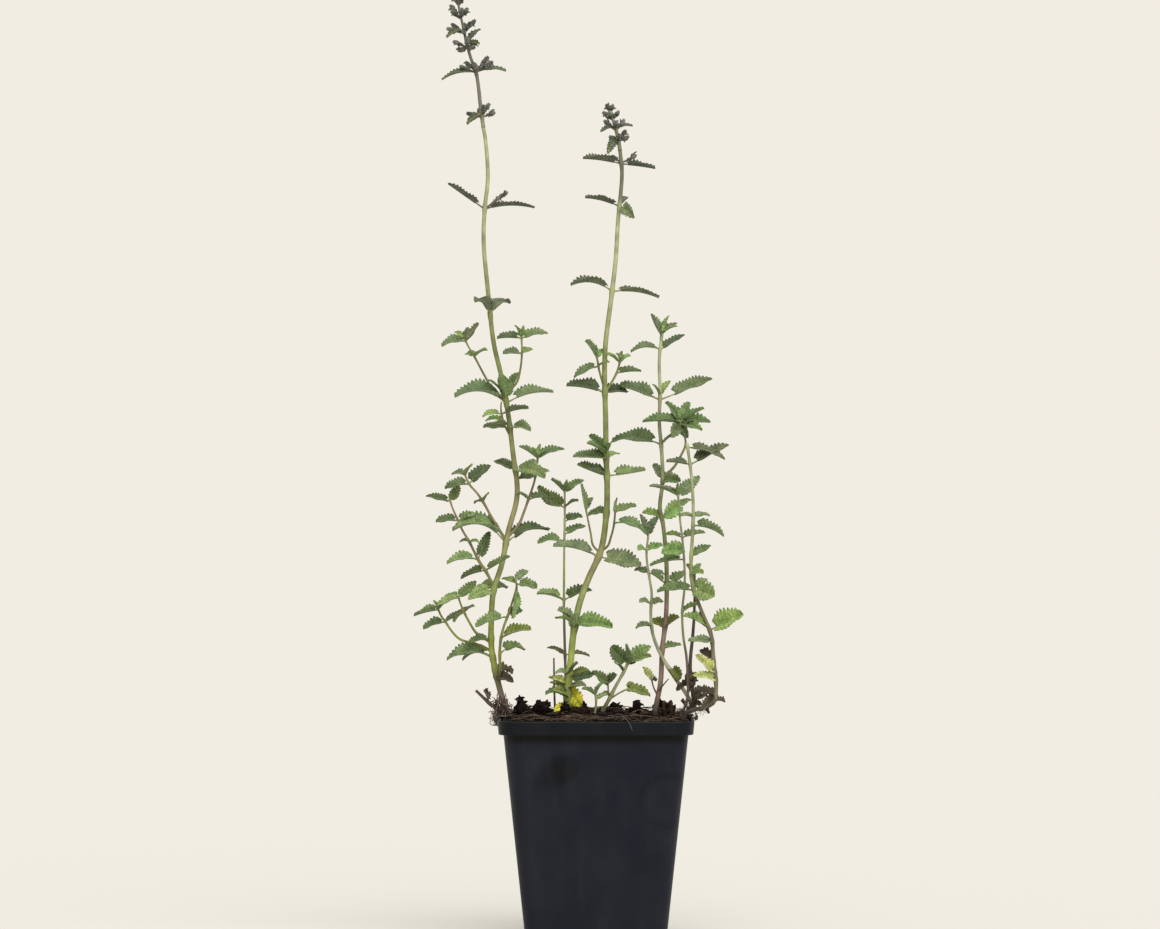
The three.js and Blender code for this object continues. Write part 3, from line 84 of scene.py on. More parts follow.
# A path row is x, y, z. A leaf row is the height of its node, the tip's x, how far the tip stands
# behind the stem, the tip's z, the width, and then roll, arch and stalk. A bud row is the height
# of its node, the mouth's x, how far it stands behind the stem, the mouth's z and the width.
# A spike stands on the stem below it: its bracts are leaf rows, and its calyces bud rows.
STEMS = {
    "stem_left": drawn(
        widths=[2.8, 2],
        path="""
        -37.2 2 93, -41.3 2 105.5, -43 1.6 112, -45.5 1 122, -47.5 .6 134, -47.5 0 148, -46.5 -.5 160,
        -43 -1 171, -39.8 -1.5 187, -36.3 -2 200, -35.9 -2 207, -37.8 -1.8 222, -40 -1 240, -43.3 0 258,
        -46.5 1 272, -49 1.6 295, -51 2.4 318, -50.5 2.8 333, -49.1 3 347, -50.3 2.6 365, -51.2 2.5 370""",
        leaves="""
        333 -67 -4 344 6.5 35 .04 .25, 333 -28 5 334 6.5 25 .1 .15, 285 -54.5 -12 290 7 10 .15 .15,
        285 -39.5 12 291 7 10 .15 .15, 245 -64 -5 247.5 9 30 .22 .2, 245 -19.5 4 250 8 25 .14 .25,
        247 -42.5 -10 257.5 7 10 .05 .1, 247 -49 -3 255.5 3.5, 247 -35.5 4 259 4,
        234 -51.5 7 234.3 6 35 .05 .2, 234 -29.5 -7 232.3 6 35 .1 .2, 214.5 -46.5 9 218.5 5 30 .05 .15,
        214.5 -23 -6 211 8 40 .15 .12, 181 -65 -5 187 10 30 .28 .22, 181 -21.5 4 187 8.5 30 .2 .25,
        160 -57.5 -8 156 7 45 .1 .2, 160 -53 8 161.5 5, 160 -41 9 160.5 5, 138 -57.5 -4 136.5 5 30 .1 .2,
        129 -67.5 -5 128.5 8 40 .2 .3, 129 -61 8 127.5 6 30 .2 .3, 121 -37.3 -3 118.6 4.6 60,
        124 -38 3 121.6 4""",
        buds="333 -40 -3 340.5 1.8, 333 -42 3 340 1.8",
        shoots=[drawn(
            widths=[1.4, 1],
            path="-41.6 -.5 249, -36.3 1.5 254, -34.5 3 260, -33.7 4 268, -34 5 276",
            leaves="""
            267.5 -42.3 -3 267.3 4.5, 267.5 -29 3 269.5 3.5, 274.5 -45 -3 274.2 5 30 .1 .2,
            274.5 -22 3 276.8 6 30 .12 .15""",
            buds="275 -37 0 280.5 2, 275 -32.8 -2 279.5 2",
        ), drawn(
            widths=[1.5, 1],
            path="-42 -.3 246.5, -47.5 -2 252, -51 -3.5 258, -55 -4.5 265.5, -58.5 -5 271.5, -59.5 -5 274",
            leaves="""
            266 -59.5 5 267.2 3.5, 266 -49.3 -4 268.8 4, 273 -70 -3 270.5 6 35 .15 .15,
            273 -53.5 3 281.5 5 30 0 .1, 273 -64.5 4 277.5 3, 273 -58 -4 279 3.5""",
        ), drawn(
            widths=[1.1, 0.9],
            path="-39 -1.5 229.5, -42 -5 236, -43.2 -6.5 242, -43 -7 245.5",
            leaves="240 -51.5 -3 238.5 4, 237 -50.5 3 236.8 3.5, 240 -30.5 -3 242.5 5",
        ), drawn(
            widths=[1.7, 1.1],
            path="""
            -41 -1.3 182.5, -45 -3 189, -48 -4.5 194, -51 -5.5 199.5, -54 -6.5 204, -57.5 -7 208,
            -60 -7.5 213.5""",
            leaves="""
            200 -55.5 5 199.2 3, 200 -48.5 -4 204 3, 208.3 -68.5 -3 206 5.5 35 .1 .15,
            208.3 -48 3 216.5 6 40 .1 .15, 212 -65.5 3 212.6 4, 212 -56 -3 217 4""",
        ), drawn(
            widths=[1.7, 1.1],
            path="""
            -40.5 -1.4 183.5, -35 .5 190, -33 1.5 195, -31 2.5 200.5, -28.2 3.5 209, -27.4 4 213,
            -26.5 4 221""",
            leaves="""
            201 -36.5 -4 204 3.5, 201 -20 3 200.5 5 25 .18 .15, 212 -35 -3 210.5 5 45 .1 .1,
            212 -21.5 4 214 4, 220 -35 -3 225.3 5 35 .1 .1, 220 -14.5 3 224 5.5 30 .12 .1,
            218 -30 -5 216.8 3""",
            buds="220 -25.3 0 226.5 2.2",
        ), drawn(
            widths=[1.7, 1.1],
            path="""
            -46.3 -.6 161.5, -50 -2 168.5, -53 -3 173, -57.5 -4 182, -60.5 -4.5 187, -62.5 -5 191.5,
            -65 -5 197, -66.5 -5 201.5""",
            leaves="""
            169 -61.5 4 165 5, 169 -39 -3 175.5 5 35 .05 .15, 174 -67.5 -3 172 6 35 .15 .2,
            174 -48.5 3 186.5 5 50 .05 .15, 182 -62 3 181.8 2.5, 182 -52.8 -3 181.5 2.5,
            191.7 -72.5 -3 191 5 35 .1 .15, 191.7 -53.3 3 194 5 30 .1 .15,
            200.5 -77 -3 202.7 4.5 50 .05 .15, 200.5 -62.5 3 207.5 4.5 45 .05 .1""",
        ), drawn(
            widths=[1.8, 1.1],
            path="""
            -44.5 1.3 117.5, -43.6 -2.5 124, -43.7 -4 130, -43.3 -4.5 137, -42 -4.5 143, -40 -4 148.5,
            -37.6 -3.5 156, -36 -3.5 162, -37 -3.5 165.5""",
            leaves="""
            131 -32.5 4 132.5 6 30 .25 .25, 138.5 -29.3 -3 142.5 6.5 35 .12 .15,
            148 -54.5 -4 143.7 5.5 35 .1 .2, 149 -34 3 151 5 50 .1 .1, 163 -42.8 3 165 4,
            163 -26.7 -2 161 6 30 .1 .15, 164 -31 3 168.5 4, 160.5 -38 -5 147.5 5.5 80 0 .1""",
        ), drawn(
            widths=[1.6, 1.1],
            path="""
            -47.6 .6 136, -51.5 -1 138.5, -54.5 -2 140.7, -57.5 -2.5 145.5, -59.8 -3 150, -62 -3 155.5,
            -62.5 -3 158""",
            leaves="""
            150 -64.5 4 145.3 4, 150 -55 -3 153 3, 157 -72 -2 153 4.5 30 .1 .1, 157 -70 5 155.5 4,
            157 -54.5 3 164 5 40 0 .1""",
        ), drawn(
            widths=[1.6, 1.1],
            path="""
            -47.5 .7 132, -51 2 134, -55 3 135.5, -62 5 137.5, -66 6 141.5, -68.3 6.5 145, -70.5 7 148,
            -72 7 151.5""",
            leaves="""
            145.5 -78.5 -3 142.3 5 30 .1 .15, 145.5 -58 3 152 3.5 20 0 .1, 151 -83 3 148 6 30 .1 .15,
            151 -67.5 -3 154.5 3.5""",
            buds="151 -74 -1 155 2",
        )],
    ),
    "stem_middle": drawn(
        widths=[3.3, 2],
        path="""
        -13.4 -4 93, -13 -4 105.5, -12.8 -4 116, -11.5 -4.3 128, -10.3 -4.6 140, -7.5 -5 154, -3.5 -5 165,
        2.2 -5 178, 4.7 -5 195, 5 -5 207, 4.5 -4.8 222, 4.3 -4.5 238, 3.8 -4.2 258, 4.3 -4 272,
        6.8 -3.6 292, 8.9 -3.4 310, 10 -3.2 328, 11.2 -3 340, 11.8 -3 350, 10.9 -3 360""",
        leaves="""
        354 -6 -3 356 7 30 .08 .2, 354 27 3 352 7.5 30 .08 .2, 334.5 -5 -4 338 7 30 .1 .2,
        334.5 17.5 -5 328.8 5.5 70 .1 .25, 334.5 14.5 6 339 4, 295.5 -11.5 -3 298 7.5 30 .2 .2,
        295.5 28.5 3 292.7 8 30 .12 .2, 249.5 -13.5 -3 252.5 7.5 35 .1 .2,
        249.5 14.3 5 249.8 6.5 35 .1 .15, 212 -8.5 -4 217 7.5 30 .05 .15, 212 22.5 4 214.5 7.5 25 .05 .25,
        220 -10.5 -6 220.5 6 40 .05 .1, 221 -4 -8 226.5 5 20, 222 -3 4 230.3 5, 222 6.5 -8 226.5 5 20,
        220 10.5 5 221.8 3.5, 195 -3.5 5 193.8 5 40, 175 -19.5 -4 180 8 35 .12 .2,
        175 20.5 -2 171 9.5 45 .08 .2, 144.5 -18.5 4 147 4 25, 146 -17.5 -3 151.3 6 35,
        144.5 7.5 -3 143.3 8 45 .1 .12, 143 -9 -8 150.3 5 20 0 .1, 120 -3.2 -4 124 4 45,
        121 -8.2 -5 127.3 4 45, 115.5 -4.5 -5 117 4 40, 110 -23 -3 113 4.5 35 .25 .3, 113 -21 2 118 3.5,
        113 -21.5 -3 120.8 4 45, 116 -6.8 -2 107.4 7.5 85 0 .12, 117 -20 -3 120.3 3.5 60 .1 .3,
        112 -19.5 -6 115 5 60 .1 .1, 122 -18.5 -3 122.5 3.5 40, 119 -1 3 121.5 5 50 .05 .2,
        107.5 -19 -4 105.4 4 60""",
        buds="354.5 18.5 2 358 2, 354.5 7 -2 357.5 2",
        shoots=[drawn(
            widths=[1.4, 1],
            path="3.9 -4.3 251, 1.4 -5 259.5, .3 -5.5 266",
            leaves="261.5 -10 -2 256 5 35 .12 .15, 261.5 6 -4 263 2.5, 265 -5 -3 272.8 5 50, 265 4 2 269 3",
        ), drawn(
            widths=[1.4, 1],
            path="4 -4.4 249.5, 7.5 -3.5 255, 9.5 -3 259, 11 -3 264.5",
            leaves="258.5 20.5 2 259.3 5 30 .1 .15, 263 4.5 -3 266.8 3.5, 263 15.5 -2 266.2 4",
            buds="264 11.8 0 268.5 2",
        ), drawn(
            widths=[1.3, 1],
            path="1.5 -5 177, -1.5 -7 180.5, -2.3 -8 185, -3.5 -8.5 191, -4.8 -9 197.5",
            leaves="197 -6.8 -2.5 208.3 5 75 0 .05, 196.5 -1.5 2 202 3",
        ), drawn(
            widths=[1.4, 1],
            path="2 -5 177.5, 5.3 -6 180, 6.7 -7 184, 8 -7.5 189, 8.7 -8 196.5",
            leaves="190.5 22.3 -4 185.5 6.5 35 .2 .15, 195.5 18.3 2 198.3 5 30 .1 .1, 195 9.5 -2 202 3 60",
        )],
    ),
    "stem_thin": drawn(
        widths=[1.4, 1],
        path="""
        -13 10 93, -13.5 10 105.5, -14 10 125, -14.6 10 150, -14.6 10 165, -14.5 10 180, -14.3 10 192,
        -14.3 10 205.5""",
        leaves="""
        204.5 -20.5 -3 210.3 4.5, 204.5 -5.5 3 209.8 5 30 .1 .1, 197.5 -26.7 4 207 7 50 -.05 .1,
        197.5 -8 -3 200.5 4, 191 -6.2 4 193 4.5, 185 -4.7 3 188.7 4.5, 182 -26.7 -3 181 5.5 35 .15 .2,
        155 -27 -3 158 7 30 .15 .2, 155 -2 4 159.2 6.5 30 .12 .2, 130 -22.5 3 133.2 2.6,
        130 -2.8 2 129.3 2.8 30 .1 .3""",
        buds="204.5 -13.4 -2 209.8 2",
    ),
    "stem_right": drawn(
        widths=[2.5, 1.6],
        path="""
        26 9 93, 27.1 9 105.5, 29.5 9 118, 30.2 9 132, 32 9 148, 32.3 9 165, 32 9 175, 30.5 9 190,
        29.1 9 197, 30.3 8.5 210, 29.6 8 226, 28.8 7.5 235, 29.1 7 250, 28.8 7 264, 30 7 276.5""",
        leaves="""
        276 25 -4 285.5 6.5 60 0 .08, 276 37 4 281.5 4.5 35, 269.5 15.8 -3 268 5.5 30 .18 .2,
        269.5 40.5 3 276.2 5 30 .05 .15, 246.5 10.5 -3 253 8 40 .06 .22, 246.5 53 4 256 7.5 35 .04 .3,
        248 25.5 -6 253.5 2.5, 248 34 4 255 3, 226 7.5 4 227.5 8.5 40 .15 .2, 226 36 -5 230.5 4,
        210 26 6 217 4, 210 38.5 -4 209.3 6 60 .1 .05, 193 21 -3 195 5 40, 162 25 -4 167.5 5 40 .1 .3,
        162 41 4 167.5 5 40 .1 .3, 143 38 -3 147.5 6 45 .1 .1, 143 25.5 3 146 5 45 .1 .1, 133 39 4 134.5 5""",
        buds="276 33.3 0 285 2.4",
        shoots=[drawn(
            widths=[1, 0.8],
            path="27.9 8.8 112, 26.2 7.5 115.5, 25.2 6.8 119.8",
            leaves="119.4 21.2 -1 124.8 4 60 0 .05, 119 27.5 0 118.2 2.5 40",
        ), drawn(
            widths=[1, 0.7],
            path="28.2 8.6 113.2, 30.4 6.5 116.2, 33 4.5 119.4",
        ), drawn(
            widths=[1.6, 1.2],
            path="30.3 8.5 211, 35.5 6.5 216, 38.5 5 221, 40.6 4 226, 40 3.5 231, 38 3 236.8",
            leaves="""
            236 21 -4 236.3 7 30 .1 .12, 236 31.5 3 245.3 5, 236 42.5 3 245.3 5, 236 49 -2 242.5 5,
            236 52 2 236.2 7 30 .1 .12, 236 48 -5 232.3 5.5 40, 235.5 34 -6 229.3 6 55 .1 .05,
            235.5 41.5 -6 229 5.5 55 .1 .05, 236 38 10 240 5""",
        )],
    ),
    "stem_far_right": drawn(
        widths=[2, 1.5],
        path="""
        36.5 -6 93, 41 -6.8 104.6, 44.5 -7.5 106, 49 -8 107, 53 -8 109.3, 54.3 -8 116, 53.2 -8 128,
        52 -8 140, 48 -8.5 150, 43.7 -9 162, 42.9 -9 172, 43.5 -9 185, 43.8 -9.5 197, 43 -10 211,
        41 -10 226.5""",
        leaves="""
        225 58 -2 219.3 6 30 .1 .15, 217 60 3 225.8 6.5 35 .05 .2, 217 31.5 -3 218.3 5,
        193.5 51.5 3 193.8 4, 193.5 37.5 -4 193.5 3, 189.5 57.5 -3 184.5 6 35 .15 .15,
        176 52 3 180.3 5 40 .05 .1, 167 48.5 -4 168 4, 160 27.5 -2 159.3 6.5 35 .12 .15,
        160 53.5 -3 157.3 9 55 .08 .12, 161 50.5 4 165 4.5, 142 66.5 -4 149.5 10 60 .05 .2,
        142 39.5 -4 148.5 7 40 .15 .2, 137 41.5 -5 137.5 4.5 40 .05 .1, 128 47 4 132.5 4 50,
        123 45 -4 131 5.5 65 0 .1, 119.5 43.5 -5 121.5 4.5 60 .1 .1, 112 47 -5 105.5 4.5 60,
        110 58.5 3 109.3 3, 112 45 -5 114.5 5 50""",
    ),
    "stem_bare_right": drawn(
        widths=[2.2, 1.2],
        path="""
        36.2 3.2 93, 41.2 3.2 103.5, 44.6 3.2 108.5, 44 3 114, 42.9 2.8 121, 42.9 2.4 128, 43.9 2 138,
        44.6 1 148, 44.8 0 158, 44.6 -1 168""",
        leaves="""
        117.5 36.6 -2 114 3.4 50, 121.5 40.6 -3 117.4 3.4 60, 121.5 45.4 3 118.2 3.4 60,
        112 49 3 115.2 3.4 55, 109.5 50.6 2 111.4 3.2 50, 167 47.5 3 172 3, 167 41 3 171.5 3""",
    ),
    "stem_slender_right": drawn(
        widths=[1.3, 1],
        path="""
        36 -2 93, 39.5 -2 104.5, 41.6 -2 112, 41.6 -2 120, 41 -2.5 130, 39.6 -3 139, 39.1 -3 150,
        40.2 -3 162, 40 -3 172, 39.3 -3 181, 38 -3 192, 37 -3 204""",
        leaves="""
        203 24 -3 207.3 5 25 .12 .1, 203 47 5 211.5 6 55 .05 .1, 199 30.5 -4 193 7 75 .05 .08,
        198 43.5 4 201 4, 184 30.5 4 185 3.5, 184 49.5 5 186 5 30 .1 .15, 178.5 29.5 -3 177 7 65 .08 .08,
        174 24.5 3.5 171 5 30 .1 .15, 150 47 -.5 153.5 4""",
        buds="203 37 -1 208.5 2",
    ),
    # A pale stem that leans left from the pot's right corner, in front of the right stem.
    "stem_leaning": drawn(
        widths=[2.2, 1],
        path="""
        36 8.5 93, 41 8.2 103.5, 43.4 7.9 107.6, 40.8 7.6 113, 37.2 7 118, 33.3 5.8 124, 30 4.6 129.5,
        27.6 3.6 134.5, 25.6 2 141, 24.9 0 150, 25.3 -2 158, 24 -3 167, 22.9 -3 176, 23.7 -3 185""",
        leaves="""
        184.5 20 -2 194.5 5.5 55 0 .1, 184.5 28.5 3 193.5 4 40, 178 18.7 -3 178.5 4, 178 30.3 3 180.3 4.5,
        167.5 17.5 3 169 4, 167.5 31 -3 167 4, 153.5 19.5 -3 154.7 4, 153.5 30.5 3 154.7 4,
        143.5 18 -3 142.5 4 30 .1 .15, 124.5 37.5 -2 118.6 5 70 .25 .25""",
    ),
    "shoot_low": drawn(
        widths=[2.2, 1.4],
        path="""
        1 -9 93, 2.9 -9 105.5, 6 -9.5 111, 8.5 -10 116, 11 -10 120.5, 13.2 -10 124.5, 14.4 -10 127.5""",
        leaves="""
        127 6.9 2 134.8 7 60 0 .12, 127 13.4 -4 136.2 5 60 0 .1, 127 24.8 2 134.6 6.5 55 .1 .1,
        126.5 25 -4 130.4 6.5 45 .1 .1, 123 8.5 -4 127.5 2.5, 112.5 3 -1.2 113.6 2.5""",
        shoots=[drawn(
            widths=[1.1, 0.9],
            path="6.2 -9.6 110.8, 5.5 -10.5 114.5, 5.4 -11 118.6",
            leaves="118.2 -2 -2 123.6 6.5 60 0 .05, 118.2 9.3 -2 122.4 5.5 60 0 .05",
        ), drawn(
            widths=[1, 0.8],
            path="6.4 -9.6 111, 10.5 -10.5 113.7, 14.8 -11 115.8",
            leaves="115.5 24.5 -1 112.2 6 45 .12 .06, 115.5 16.6 2 118.4 2.5",
        )],
    ),
    "shoot_front": drawn(
        widths=[1.3, 1],
        path="-.8 -17 94, -.5 -17 105.5, 0 -17 110, -.5 -17 114.5",
        leaves="113 -6.5 -2 116 3.5 40, 113 2.9 -1 118.5 3 50, 111 5.4 2 113 2.6 40",
    ),
    "twig_left": drawn(
        widths=[1.9, 1.5],
        path="-37 12 93, -40.2 12 104.6, -43.4 12 105.5, -47 12 106.6, -50.5 12 109.6, -54.9 12 113.8",
        leaves="108 -51.3 -2 114 3.4 50 .1 .3",
    ),
    "dead_stub": drawn(
        widths=[1.1, 0.9],
        path="-18.5 3 94, -18.7 3 105.5, -19 3 115, -19.2 3 129",
    ),
    "spike_left": drawn(
        widths=[1.9, 1.2],
        below="stem_left",
        path="""
        -52.4 2.4 379, -54.5 2.2 395, -57 2 402, -59 1.8 409, -60.2 1.6 415, -61.6 1.4 421, -63 1.2 428""",
        leaves="""
        376 -58.5 -3 371 2.8 40, 395.5 -70 -3 391.5 3.2 30, 395.5 -41 3 396.5 3.2 30,
        415 -68 -2 411 2.4 40, 408.5 -52.5 2 415.5 2.4 40, 408.5 -52.8 -2 408 2.2 40""",
        buds="""
        375 -48.5 -2 381 2.2, 375 -45.8 1 377 2.2, 375 -58.8 -2 376.5 2.2, 375 -51 -5 380 2.2,
        375 -53.5 6 379 2.2, 395.5 -62 -3 398 2.2, 395.5 -59.5 3 400.5 2.2, 395.5 -49 -2 402.5 2.3,
        395.5 -47 2 400.5 2.3, 395.5 -55 -6 399 2.2, 395.5 -54.5 7 399 2.2, 407 -65 -2 409.5 2.2,
        407 -62.8 4 405.5 2.2, 407 -54 1 409.5 2.2, 407 -55 -4 406.5 2.2, 407 -58.5 -5.5 411 2.2,
        407 -58.5 7 411 2.2, 413.5 -68 -1 415.5 2.2, 413.5 -66 4 418 2.2, 413.5 -55 0 419.5 2.3,
        413.5 -57 -5 418 2.2, 413.5 -60 -5 413.5 2.2, 413.5 -60 6.5 418 2.2, 420 -66 -2 423.5 2.2,
        420 -66.5 2 426.5 2.2, 420 -58.5 0 425 2.2, 420 -61 -4 424.5 2.2, 420 -61 5 424.5 2.2,
        426 -65.5 -1 430.5 2, 426 -60.5 2 430.5 2, 426 -63.2 -2 431.8 2, 426 -64 3 431.5 2""",
    ),
    "spike_middle": drawn(
        widths=[1.9, 1.2],
        below="stem_middle",
        path="10.2 -3 364.5, 8.9 -3 370, 7.2 -3 375, 6.2 -3 378",
        leaves="365.5 5.2 -3 358 3.2 50, 370.5 2 -2 368 2.4 40, 370 16.8 2 371.3 2.4 40",
        buds="""
        364 15 1 366.5 2.2, 364 13.5 -3 369 2.2, 364 6 1 366.5 2.2, 364 10.5 -5.5 367 2.2,
        364 10.5 5.5 367 2.2, 369 13 1 374.2 2.2, 369 3.6 -1 373.5 2.2, 369 8.5 -5 373 2.2,
        369 8.8 5 373 2.2, 374 3 0 377.5 2.2, 374 10.5 1 378 2.2, 374 6 -4 377.5 2.2, 374 7 4 377.5 2.2,
        377 4.6 -1 381 2, 377 7.8 1 381 2""",
    ),
}
SPIKES = [name for name, stem in STEMS.items() if stem["below"]]

# Leaves that aren't plain green, by node and by the height that they grow from.
LEAF_KINDS = {
    "stem_left": {121: "dead", 124: "dead", 138.5: "olive", 247: "bright", 160.5: "fresh"},
    "stem_middle": {
        116: "yellow", 107.5: "yellow", 117: "pale", 113: "olive", 112: "olive", 120: "olive",
        115.5: "grey", 122: "grey", 146: "grey", 175: "grey", 121: "green", 143: "fresh",
        144.5: "fresh", 222: "bright", 221: "bright",
    },
    "stem_right": {
        119.4: "pale", 119: "dead", 143: "olive", 193: "fresh", 276: "bright", 236: "bright",
    },
    "stem_leaning": {
        124.5: "olive", 143.5: "grey", 153.5: "grey", 167.5: "grey", 184.5: "grey", 178: "fresh",
    },
    "stem_far_right": {
        123: "pale", 119.5: "pale", 137: "grey", 142: "fresh", 112: "dead", 110: "dead",
        128: "dead", 217: "shady", 225: "shady",
    },
    "stem_bare_right": {117.5: "dead", 121.5: "dead", 112: "dead", 109.5: "dead"},
    "stem_thin": {130: "shady", 197.5: "green"},
    "stem_slender_right": {178.5: "fresh", 199: "fresh", 203: "grey"},
    "shoot_low": {115.5: "olive"},
    "shoot_front": {111: "green", 113: "green"},
    "twig_left": {108: "dead"},
}

# Linear colours: upper face, underside.
LEAF_COLOURS = {
    "green": ((0.125, 0.178, 0.074), (0.21, 0.265, 0.155)),
    "bright": ((0.15, 0.25, 0.076), (0.23, 0.33, 0.145)),
    "fresh": ((0.20, 0.295, 0.105), (0.28, 0.36, 0.18)),
    "olive": ((0.16, 0.185, 0.045), (0.23, 0.26, 0.10)),
    "grey": ((0.17, 0.21, 0.13), (0.25, 0.295, 0.20)),
    "shady": ((0.085, 0.10, 0.062), (0.15, 0.17, 0.12)),
    "pale": ((0.43, 0.465, 0.2), (0.46, 0.49, 0.25)),
    "yellow": ((0.70, 0.66, 0.06), (0.68, 0.64, 0.12)),
    "dead": ((0.085, 0.062, 0.047), (0.15, 0.115, 0.085)),
    "dusky": ((0.066, 0.073, 0.056), (0.11, 0.118, 0.095)),
}
DULL = {"from": 155, "growth": 105, "share": 0.65}  # leaves are greyer higher up
DULL_COLOUR = np.array((0.098, 0.124, 0.078))
STEM_GREEN = np.array((0.19, 0.22, 0.075))
STEM_FRESH = np.array((0.295, 0.36, 0.065))
STEM_GREY = np.array((0.155, 0.16, 0.105))
STEM_PALE = np.array((0.3, 0.325, 0.19))
SPIKE_STEM = np.array((0.12, 0.11, 0.085))
STEM_DARK = np.array((0.045, 0.032, 0.028))
WOOD = {
    "brown": np.array((0.13, 0.09, 0.068)),
    "dark": np.array((0.085, 0.064, 0.05)),
    "pale": np.array((0.6, 0.56, 0.43)),
    "drab": np.array((0.15, 0.135, 0.085)),
    "rosy": np.array((0.25, 0.18, 0.14)),
}
CALYX_TINTS = np.array(((0.045, 0.048, 0.042), (0.135, 0.15, 0.115), (0.155, 0.145, 0.15)))
VEIN_COLOUR = np.array((0.20, 0.25, 0.11))

DUSK = {"stem_middle": 335}  # purple grey above this height
FLUSH = {"stem_left": (196, 20), "stem_middle": (172, 9)}  # height and reach of a brown flush
FLUSH_COLOUR = np.array((0.25, 0.19, 0.115))
# The height where old wood gives way to green, how green it is above, the height from where it
# pales and over how much, and the kind of wood.
BARE_WOOD, NO_WOOD = (400, 0.0, 400, 1, "dark"), (0, 0.1, 400, 1, "dark")
BARK = {
    "stem_left": (119.5, 1.0, 275, 45, "brown"), "stem_middle": (107, 1.0, 262, 45, "drab"),
    "stem_thin": (151, 0.8, 150, 40, "brown"), "stem_right": (158, 0.4, 168, 60, "rosy"),
    "stem_far_right": (158, 0.6, 160, 25, "drab"), "stem_bare_right": BARE_WOOD,
    "stem_slender_right": (134, 0.6, 140, 30, "brown"), "stem_leaning": (128, 0.2, 112, 24, "pale"),
    "shoot_low": (108, 0.6, 108, 12, "drab"), "shoot_front": (104, 0.6, 108, 15, "drab"),
    "twig_left": BARE_WOOD, "dead_stub": BARE_WOOD, "spike_left": NO_WOOD, "spike_middle": NO_WOOD,
}


# ---------------------------------------------------------------- placing the drawing

def sway(x, z):
    """The stems wave in depth as well, each out of step with the next."""
    share = np.clip((z - SWAY["from"]) / SWAY["growth"], 0, 1)
    turn = 2 * math.pi * (z - SWAY["from"]) / SWAY["wave"] + SWAY["turn"] * x
    return SWAY["reach"] * share * share * (3 - 2 * share) * math.sin(turn)


def real_height(z):
    return DRAWING["middle_z"] + (z - DRAWING["middle_z"]) * DRAWING["scale"]


def place(point):
    """A point of the drawing at real size."""
    x, y, z = point
    real_x = DRAWING["middle_x"] + (x - DRAWING["middle_x"]) * DRAWING["scale"]
    return np.array((real_x, y + sway(x, z), real_height(z)))


UP = np.array((0.0, 0.0, 1.0))
FRONT = np.array((0.0, -1.0, 0.0))
DEPTH = np.array((0.0, 1.0, 0.0))


def unit(vector):
    return vector / np.linalg.norm(vector, axis=-1, keepdims=True)


def perpendicular(vector, axis):
    return unit(vector - np.sum(vector * axis, axis=-1, keepdims=True) * axis)


def across_axes(along):
    """Two directions across a line, square to each other."""
    side = perpendicular(DEPTH if abs(along[1]) < 0.9 else UP, along)
    return side, np.cross(along, side)


def blend(first, second, share):
    return first + (second - first) * share


def rise(z, start, span):
    """Climbs from 0 to 1 over a stretch of height, for each point."""
    return np.clip((z - start) / span, 0, 1)[:, None]


def bell(x):
    return np.exp(-(x ** 2))


def smooth_line(points, step):
    """Evenly spaced points on a centripetal Catmull-Rom curve through the given ones."""
    points = np.asarray(points, float)
    if len(points) < 3:
        count = max(2, int(np.linalg.norm(points[-1] - points[0]) / step) + 1)
        return points[0] + np.linspace(0, 1, count)[:, None] * (points[-1] - points[0])
    padded = np.vstack([2 * points[0] - points[1], points, 2 * points[-1] - points[-2]])
    fine = []
    for p0, p1, p2, p3 in zip(padded, padded[1:], padded[2:], padded[3:]):
        t1 = np.linalg.norm(p1 - p0) ** 0.5
        t2 = t1 + np.linalg.norm(p2 - p1) ** 0.5
        t3 = t2 + np.linalg.norm(p3 - p2) ** 0.5
        t = np.linspace(t1, t2, 24, endpoint=False)[:, None]
        a1 = p0 + (p1 - p0) * t / t1
        a2 = p1 + (p2 - p1) * (t - t1) / (t2 - t1)
        a3 = p2 + (p3 - p2) * (t - t2) / (t3 - t2)
        b1 = a1 + (a2 - a1) * t / t2
        b2 = a2 + (a3 - a2) * (t - t1) / (t3 - t1)
        fine.append(b1 + (b2 - b1) * (t - t1) / (t2 - t1))
    fine = np.vstack(fine + [points[-1:]])
    walked = np.concatenate([[0], np.cumsum(np.linalg.norm(np.diff(fine, axis=0), axis=1))])
    wanted = np.linspace(0, walked[-1], max(2, int(walked[-1] / step) + 1))
    return np.stack([np.interp(wanted, walked, fine[:, k]) for k in range(3)], axis=1)


def point_at_height(line, z):
    """Where a rising line first reaches a height."""
    for low, high in zip(line, line[1:]):
        if z <= high[2]:
            share = np.clip((z - low[2]) / max(high[2] - low[2], 1e-9), 0, 1)
            return low + share * (high - low)
    return line[-1]


# ---------------------------------------------------------------- meshes

STEM_SLOT, LEAF_SLOT, CALYX_SLOT = 0, 1, 2  # places in the plant's list of materials


